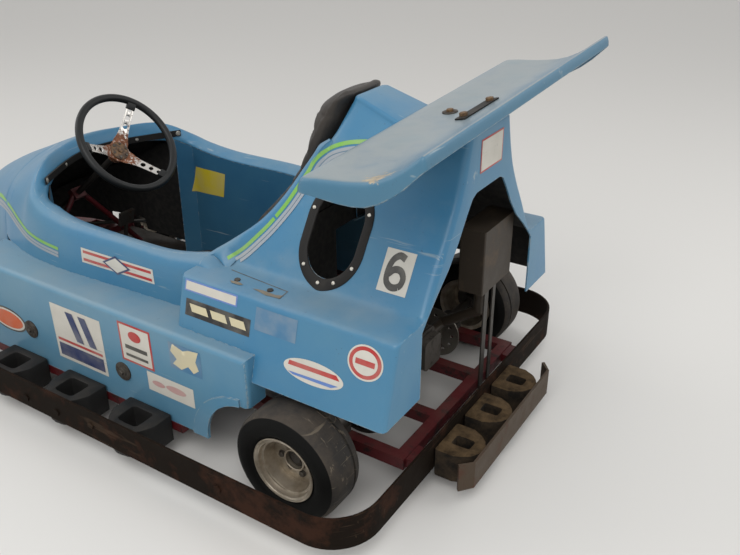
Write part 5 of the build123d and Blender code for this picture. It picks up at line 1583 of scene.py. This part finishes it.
metal_table = (
    # name, paint or metal, rust, share of rust, metallic, roughness, nodes of the frame
    ("frame_red", (78, 9, 15), (34, 16, 13), 0.42, 0.0, 0.5, ("frame", "out_rails", "front_beam", "column_support")),
    ("oily_steel", (66, 63, 59), (62, 44, 33), 0.3, 0.6, 0.42,
     ("knuckle_left", "knuckle_right", "tie_rod_left", "tie_rod_right", "rear_axle", "axle_bearings",
      "steering_column", "pedals", "wing_mounts", "silencer_struts")),
    ("drive_steel", (112, 108, 100), (86, 60, 44), 0.2, 0.75, 0.36, ("sprocket", "brake_disc")),
    ("greasy_chain", (44, 40, 36), (70, 50, 36), 0.3, 0.5, 0.45, ("chain",)),
    ("floor_plate", (48, 44, 40), (48, 36, 28), 0.35, 0.2, 0.6, ("floor_pan",)),
    ("cast_engine", (88, 84, 77), (46, 41, 36), 0.45, 0.35, 0.5, ("engine_block",)),
    ("finned_cylinder", (74, 70, 65), (42, 37, 33), 0.4, 0.4, 0.5, ("engine_cylinder",)),
)
for name, base, rust, rust_share, metallic, roughness, nodes in metal_table:
    dress(worn_metal(name, colour(*base), colour(*rust), rust_share, metallic, roughness), *nodes)


# Bumper.
# One flat steel strip bent round the whole kart, rusty and scraped, and hollow rubber blocks cut
# from thick stock that stand behind it and at both ends, those at the ends under a steel plate.
band_steel = worn_metal("bumper_steel", colour(25, 19, 14), colour(54, 35, 26), 0.5, 0.0, 0.7, scale=6.0,
                        dust_tone=(44, 35, 27))
tree, shader, before = reopened(band_steel)
scrapes = maths(tree, "MULTIPLY", effect(tree, scratch_group, Scale=34.0, Cover=0.34, Slant=0.02), 0.45)
feed(tree, shader, {"Base Color": mixed(tree, scrapes, before, colour(72, 58, 46)), "Specular IOR Level": 0.06})
dress(band_steel, "bumper_band")
dress(worn_metal("end_plate_steel", colour(66, 52, 37), colour(72, 46, 30), 0.4, 0.1, 0.62, scale=14.0),
      "end_plates")
band_y = 0.591
parts = []
for side in (-1, 1):
    for x, z in ((0.801, 0.090), (0.678, 0.090), (0.544, 0.103), (1.10, 0.10), (0.12, 0.10)):
        parts.append(stud((rear_x + x, side * band_y, z), (0.0, side, 0.0), 0.0105, 0.0045, sides=6, flat=1.0))
new_piece("bumper_bolts", *joined(parts), band_steel, finish="bumper_steel", crease=30.0)
cut_rubber, tree, shader = blank_material("cut_rubber")
clouds = noise(tree, 30.0, 6.0, 0.7)
side_shade = mixed(tree, between(tree, clouds, 0.38, 0.64), colour(26, 23, 20), colour(58, 48, 37))
top_shade = mixed(tree, between(tree, clouds, 0.36, 0.62), colour(50, 39, 26), colour(88, 71, 50))
feed(tree, shader, {"Base Color": mixed(tree, between(tree, facing_up(tree), 0.4, 0.8), side_shade, top_shade),
                    "Roughness": 0.88, "Specular IOR Level": 0.15, "Normal": bumped(tree, clouds, 0.7, 0.002)})


block_height = 0.078
block_middle_z = 0.081
side_block_y = 0.465
end_block_pitch = 0.155
end_block_shift = 0.015


def rubber_block(depth, width, hole_l, hole_w, turn, x, y, chance):
    """Points and faces of one hollow block: flat back, round nose and an oblong hole, cut a little unevenly."""
    nose_line = smooth_line(((depth * 0.50, width / 2), (depth * 0.80, width * 0.36), (depth * 0.97, width * 0.16),
                             (depth, 0.0), (depth * 0.97, -width * 0.16), (depth * 0.80, -width * 0.36),
                             (depth * 0.50, -width / 2)), 4)
    outline = [(0.0015, -width / 2 + 0.004), (0.0015, width / 2 - 0.004), (0.005, width / 2)] + nose_line
    outline += [(0.005, -width / 2)]
    uneven = [(a + (chance.uniform(-0.0012, 0.0008) if a > 0.01 else 0.0), b * (1 - chance.uniform(0.0, 0.012)))
              for a, b in outline]
    middle = 0.025 + hole_l / 2
    hole = [(middle + a * hole_l / 2, b * hole_w / 2) for a, b in
            ((-0.85, -1), (-0.4, -1.02), (0.4, -0.99), (0.85, -0.94), (1, -0.7), (1.03, 0.1), (1, 0.75), (0.84, 0.97),
             (0.3, 1.02), (-0.85, 1), (-1, 0.8), (-1, -0.8))]
    placing = Matrix.Translation((rear_x + x, y, block_middle_z)) @ Matrix.Rotation(turn, 4, "Z")
    return flat_plate([uneven, hole], block_height, 0.0025, placing)


# Depth, width, length of the hole and width of the hole.
side_block = (0.120, 0.149, 0.060, 0.070)
end_block = (0.102, 0.119, 0.047, 0.034)
chance = Random(11)
side_blocks = [rubber_block(*side_block, side * pi / 2, x, side * side_block_y, chance)
               for side in (1, -1) for x in (0.460, 0.700, 0.940)]
end_blocks = [rubber_block(*end_block, turn, x, n * end_block_pitch + end_block_shift, chance)
              for x, turn in ((-0.237, pi), (1.697, 0.0)) for n in (-1, 0, 1)]
# Painted shade: the side blocks are black to stand for the shade between the pod and the band, with real dust in
# patches.
rubber_painted_shade = black_rubber("rubber_painted_shade", colour(26, 25, 24), colour(62, 56, 48), 0.6)
side_rubber = new_piece("side_rubber_blocks", *joined(side_blocks), rubber_painted_shade, finish="bumper_rubber", crease=40.0)
end_rubber = new_piece("end_rubber_blocks", *joined(end_blocks), cut_rubber, finish="bumper_rubber", crease=40.0)
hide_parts("side_rubbers")
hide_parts("end_rubbers")


# Silencer and exhaust pipe.
# A plain folded sheet box, black and brown from heat and oil, that stands on two struts, and the
# short pipe that leads from the engine to it.
silencer_sheet = worn_metal("silencer_sheet", colour(52, 44, 35), colour(78, 64, 49), 0.35, 0.2, 0.5, scale=5.0)
dress(silencer_sheet, "silencer_box", "exhaust_pipe")

for name, piece in node.items():
    if not piece.hide_render and not piece.data.materials:
        raise SystemExit("no material on " + name)
